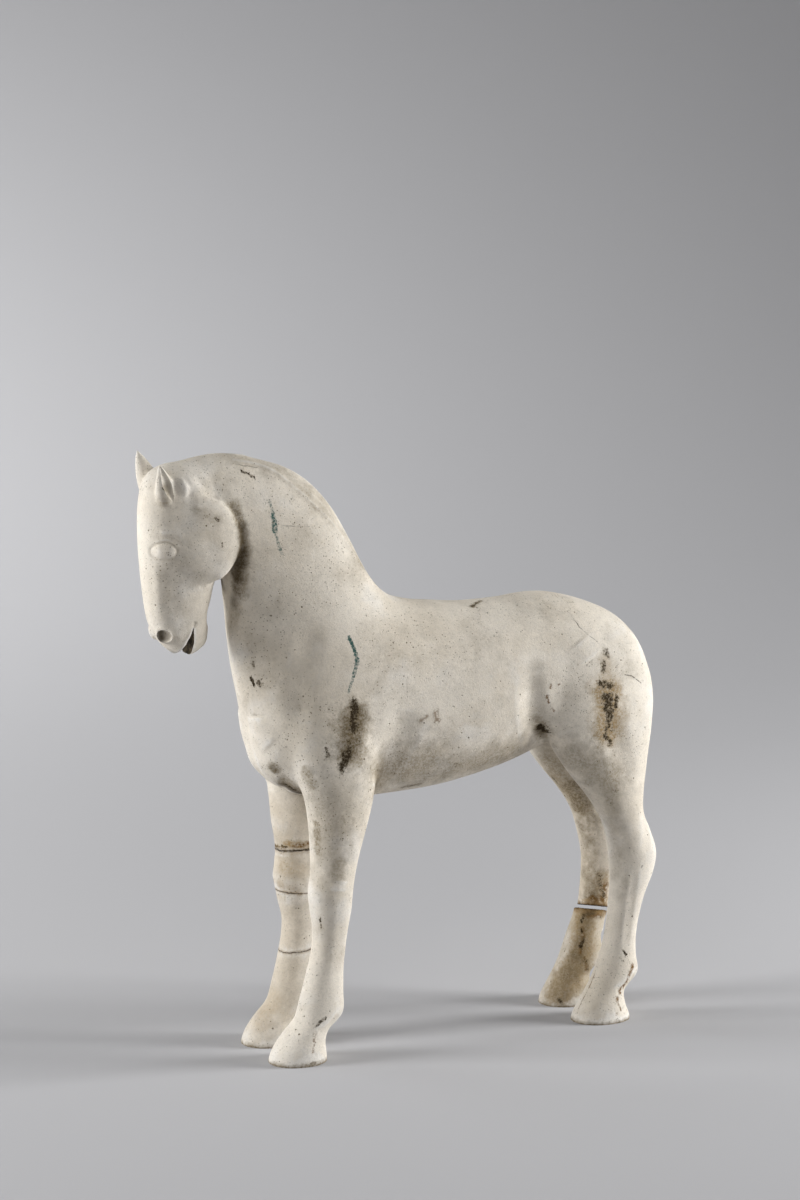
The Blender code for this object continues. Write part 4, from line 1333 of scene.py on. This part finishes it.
def crack_seams():
    """The repairs' dark lines and the brown beside them: the middle in mm, the direction across the line,
    the half width and the reach in mm, the colour and the strength."""
    seams = []
    for level, tilt, _, line, brown in CRACKS:
        middle = right_foreleg(level)[0] - MIDDLE
        across = tuple(Vector((-tilt, 0, 1)).normalized())
        centre = tuple(v * U * 1000 for v in (middle, LEG_OUT, level))
        seams += [(centre, across, brown, 34, TAN, 0.6), (centre, across, line, 34, DARK_EARTH_AND_SHADE, 0.9)]
    return seams


def break_seams(slip_by):
    """The dark staining along the broken hind leg."""
    centre = tuple(v * U * 1000 for v in (BREAK_AT[0] - MIDDLE - slip_by, BREAK_AT[1], BREAK_AT[2]))
    across = tuple(Vector((-BREAK_SLOPE[0], -BREAK_SLOPE[1], 1)).normalized())
    return [
        (centre, across, width, 40, colour, strength)
        for width, colour, strength in ((9.0, TAN, 0.8), (6.0, RUST, 0.8), (3.6, DARK_EARTH_AND_SHADE, 0.9))
    ]


# Painted contact shadow round the soles, given as the seams are.
SOLE_CONTACT_SHADOW = [((0, 0, 0), (0, 0, 1), 5.0, 400, GREY, 0.8), ((0, 0, 0), (0, 0, 1), 2.0, 400, SOIL_AND_SHADE_BROWN, 0.9)]
HORSE_MARKS = {
    "earth": EARTH_AND_SHADE_MARKS, "soil": SOIL_AND_SHADE_MARKS, "tan": TAN_MARKS, "rust": RUST_MARKS, "green": GREEN_MARKS,
    "hairlines": HAIRLINES, "warm": WARM_MARKS, "shade": SHADE_MARKS,
}
HOOF_MARKS = {"earth": HOOF_EARTH, "soil": HOOF_SOIL, "tan": HOOF_TAN, "rust": HOOF_RUST}

# The horse, with its finishes in the order of the materials' numbers on it.
SLIP, BREAK, SLOT = 0, 1, 2
horse_seams = crack_seams() + break_seams(0.0) + SOLE_CONTACT_SHADOW
finishes = {
    SLIP: slip_finish("white_slip_over_clay", WHITE, 0.0, HORSE_MARKS, horse_seams),
    BREAK: bare_finish("broken_clay", CLAY, DARK_EARTH_AND_SHADE, 0.5),
    SLOT: bare_finish("clay_of_the_slot", CREAM, CLAY, 0.42),
}
horse = clay_form()
refine_head(horse)
press_folds(horse)
fewer = horse.modifiers.new("fewer", "DECIMATE")
fewer.ratio = SKIN_FACES / (2.0 * len(horse.data.polygons))
apply(horse)
horse.data.materials.clear()
for finish in finishes.values():
    horse.data.materials.append(finish)
cutters = [(channel_cutter(), SLOT), (mouth_cutter(), BREAK)]
for side, place in ((1, LEFT_EAR), (-1, RIGHT_EAR)):
    cutters += [(nostril_cutter(side), SLIP), (ear_cutter(side, place), SLIP)]
cutters += [(crack_cutter(*crack[:3]), BREAK) for crack in CRACKS]
cutters.append((break_cutter(), BREAK))
carve(horse, cutters)
hoof = stand_and_part(horse)
worn_slip = slip_finish("worn_slip_over_clay", WORN, 0.5, HOOF_MARKS, break_seams(BREAK_SLIP) + SOLE_CONTACT_SHADOW)
hoof.data.materials.append(worn_slip)
hoof.data.materials.append(finishes[BREAK])
for piece, node, slot in ((horse, "horse", "white_slip"), (hoof, "broken_hind_hoof", "worn_slip")):
    note_hollows(piece)
    piece.data.shade_smooth()
    piece.data.set_sharp_from_angle(angle=SHARP_EDGE)
    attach(piece, "root")
    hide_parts(node)


# The studio, in metres.

FLAT_FLOOR = 1.5  # the radius of the floor's flat part
FLOOR_CURVE = 4.5  # the radius of its curve up into the backdrop
PAPER = (0.455, 0.455, 0.468)
DAYLIGHT = (1.0, 0.98, 0.95)
HORSE_MIDDLE = (0, 0, 0.3)


def studio_bowl():
    """A seamless pale floor that curves up slowly into the backdrop on every side."""
    bm = bmesh.new()
    profile = [(0.0, 0.0), (FLAT_FLOOR, 0.0)]
    for k in range(1, 19):
        turn = math.radians(5 * k)
        rise = FLOOR_CURVE - FLOOR_CURVE * math.cos(turn)
        profile.append((FLAT_FLOOR + FLOOR_CURVE * math.sin(turn), rise))
    verts = [bm.verts.new((x, 0, z)) for x, z in profile]
    edges = [bm.edges.new(pair) for pair in zip(verts, verts[1:])]
    bmesh.ops.spin(
        bm, geom=verts + edges, cent=(0, 0, 0), axis=(0, 0, 1), angle=2 * math.pi, steps=96, use_merge=True
    )
    bmesh.ops.remove_doubles(bm, verts=bm.verts, dist=1e-5)
    bmesh.ops.recalc_face_normals(bm, faces=bm.faces)
    bmesh.ops.reverse_faces(bm, faces=bm.faces)
    bowl = mesh_object("studio_floor", bm)
    bowl.data.shade_smooth()
    paper, _, shader = new_material("studio_paper")
    shader.inputs["Base Color"].default_value = (*PAPER, 1.0)
    shader.inputs["Roughness"].default_value = 0.9
    shader.inputs["Specular IOR Level"].default_value = 0.2
    bowl.data.materials.append(paper)


def soft_light(name, place, aim, size, watts):
    """A softbox of this width and height at a place, turned to its aim."""
    light = bpy.data.lights.new(name, "AREA")
    light.shape = "RECTANGLE"
    light.size, light.size_y = size
    light.energy = watts
    lamp = bpy.data.objects.new(name, light)
    lamp.location = place
    lamp.rotation_euler = (Vector(aim) - Vector(place)).to_track_quat("-Z", "Y").to_euler()
    lamp.visible_camera = False
    bpy.context.scene.collection.objects.link(lamp)


def photographer():
    """The camera where the photograph was taken from."""
    camera = bpy.data.cameras.new("camera")
    camera.lens = 90
    camera.sensor_width = 36
    taker = bpy.data.objects.new("camera", camera)
    taker.location = (-1.1615, -2.4665, 0.8305)
    taker.rotation_euler = Euler((math.radians(81.29), 0, math.radians(-25.18)))
    bpy.context.scene.collection.objects.link(taker)
    bpy.context.scene.camera = taker


studio_bowl()
soft_light("left_softbox", (-2.05, 0.55, 1.00), HORSE_MIDDLE, (0.8, 1.2), 45)
soft_light("right_softbox", (2.15, -0.75, 1.00), HORSE_MIDDLE, (0.8, 1.2), 71)
soft_light("front_fill", (-1.6, -2.9, 1.8), HORSE_MIDDLE, (2.2, 1.6), 20)
soft_light("backdrop_light", (-0.6, 2.6, 2.2), (0.0, 4.4, 0.2), (2.4, 1.4), 48)
soft_light("floor_wash", (-1.3, 2.0, 2.0), (-1.1, 3.2, 0.0), (1.6, 1.2), 34)
world = bpy.data.worlds.new("studio_air")
bpy.context.scene.world = world
world.use_nodes = True
air = world.node_tree.nodes["Background"]
air.inputs["Color"].default_value = (*DAYLIGHT, 1.0)
air.inputs["Strength"].default_value = 0.09
bpy.context.scene.view_settings.view_transform = "Standard"
photographer()
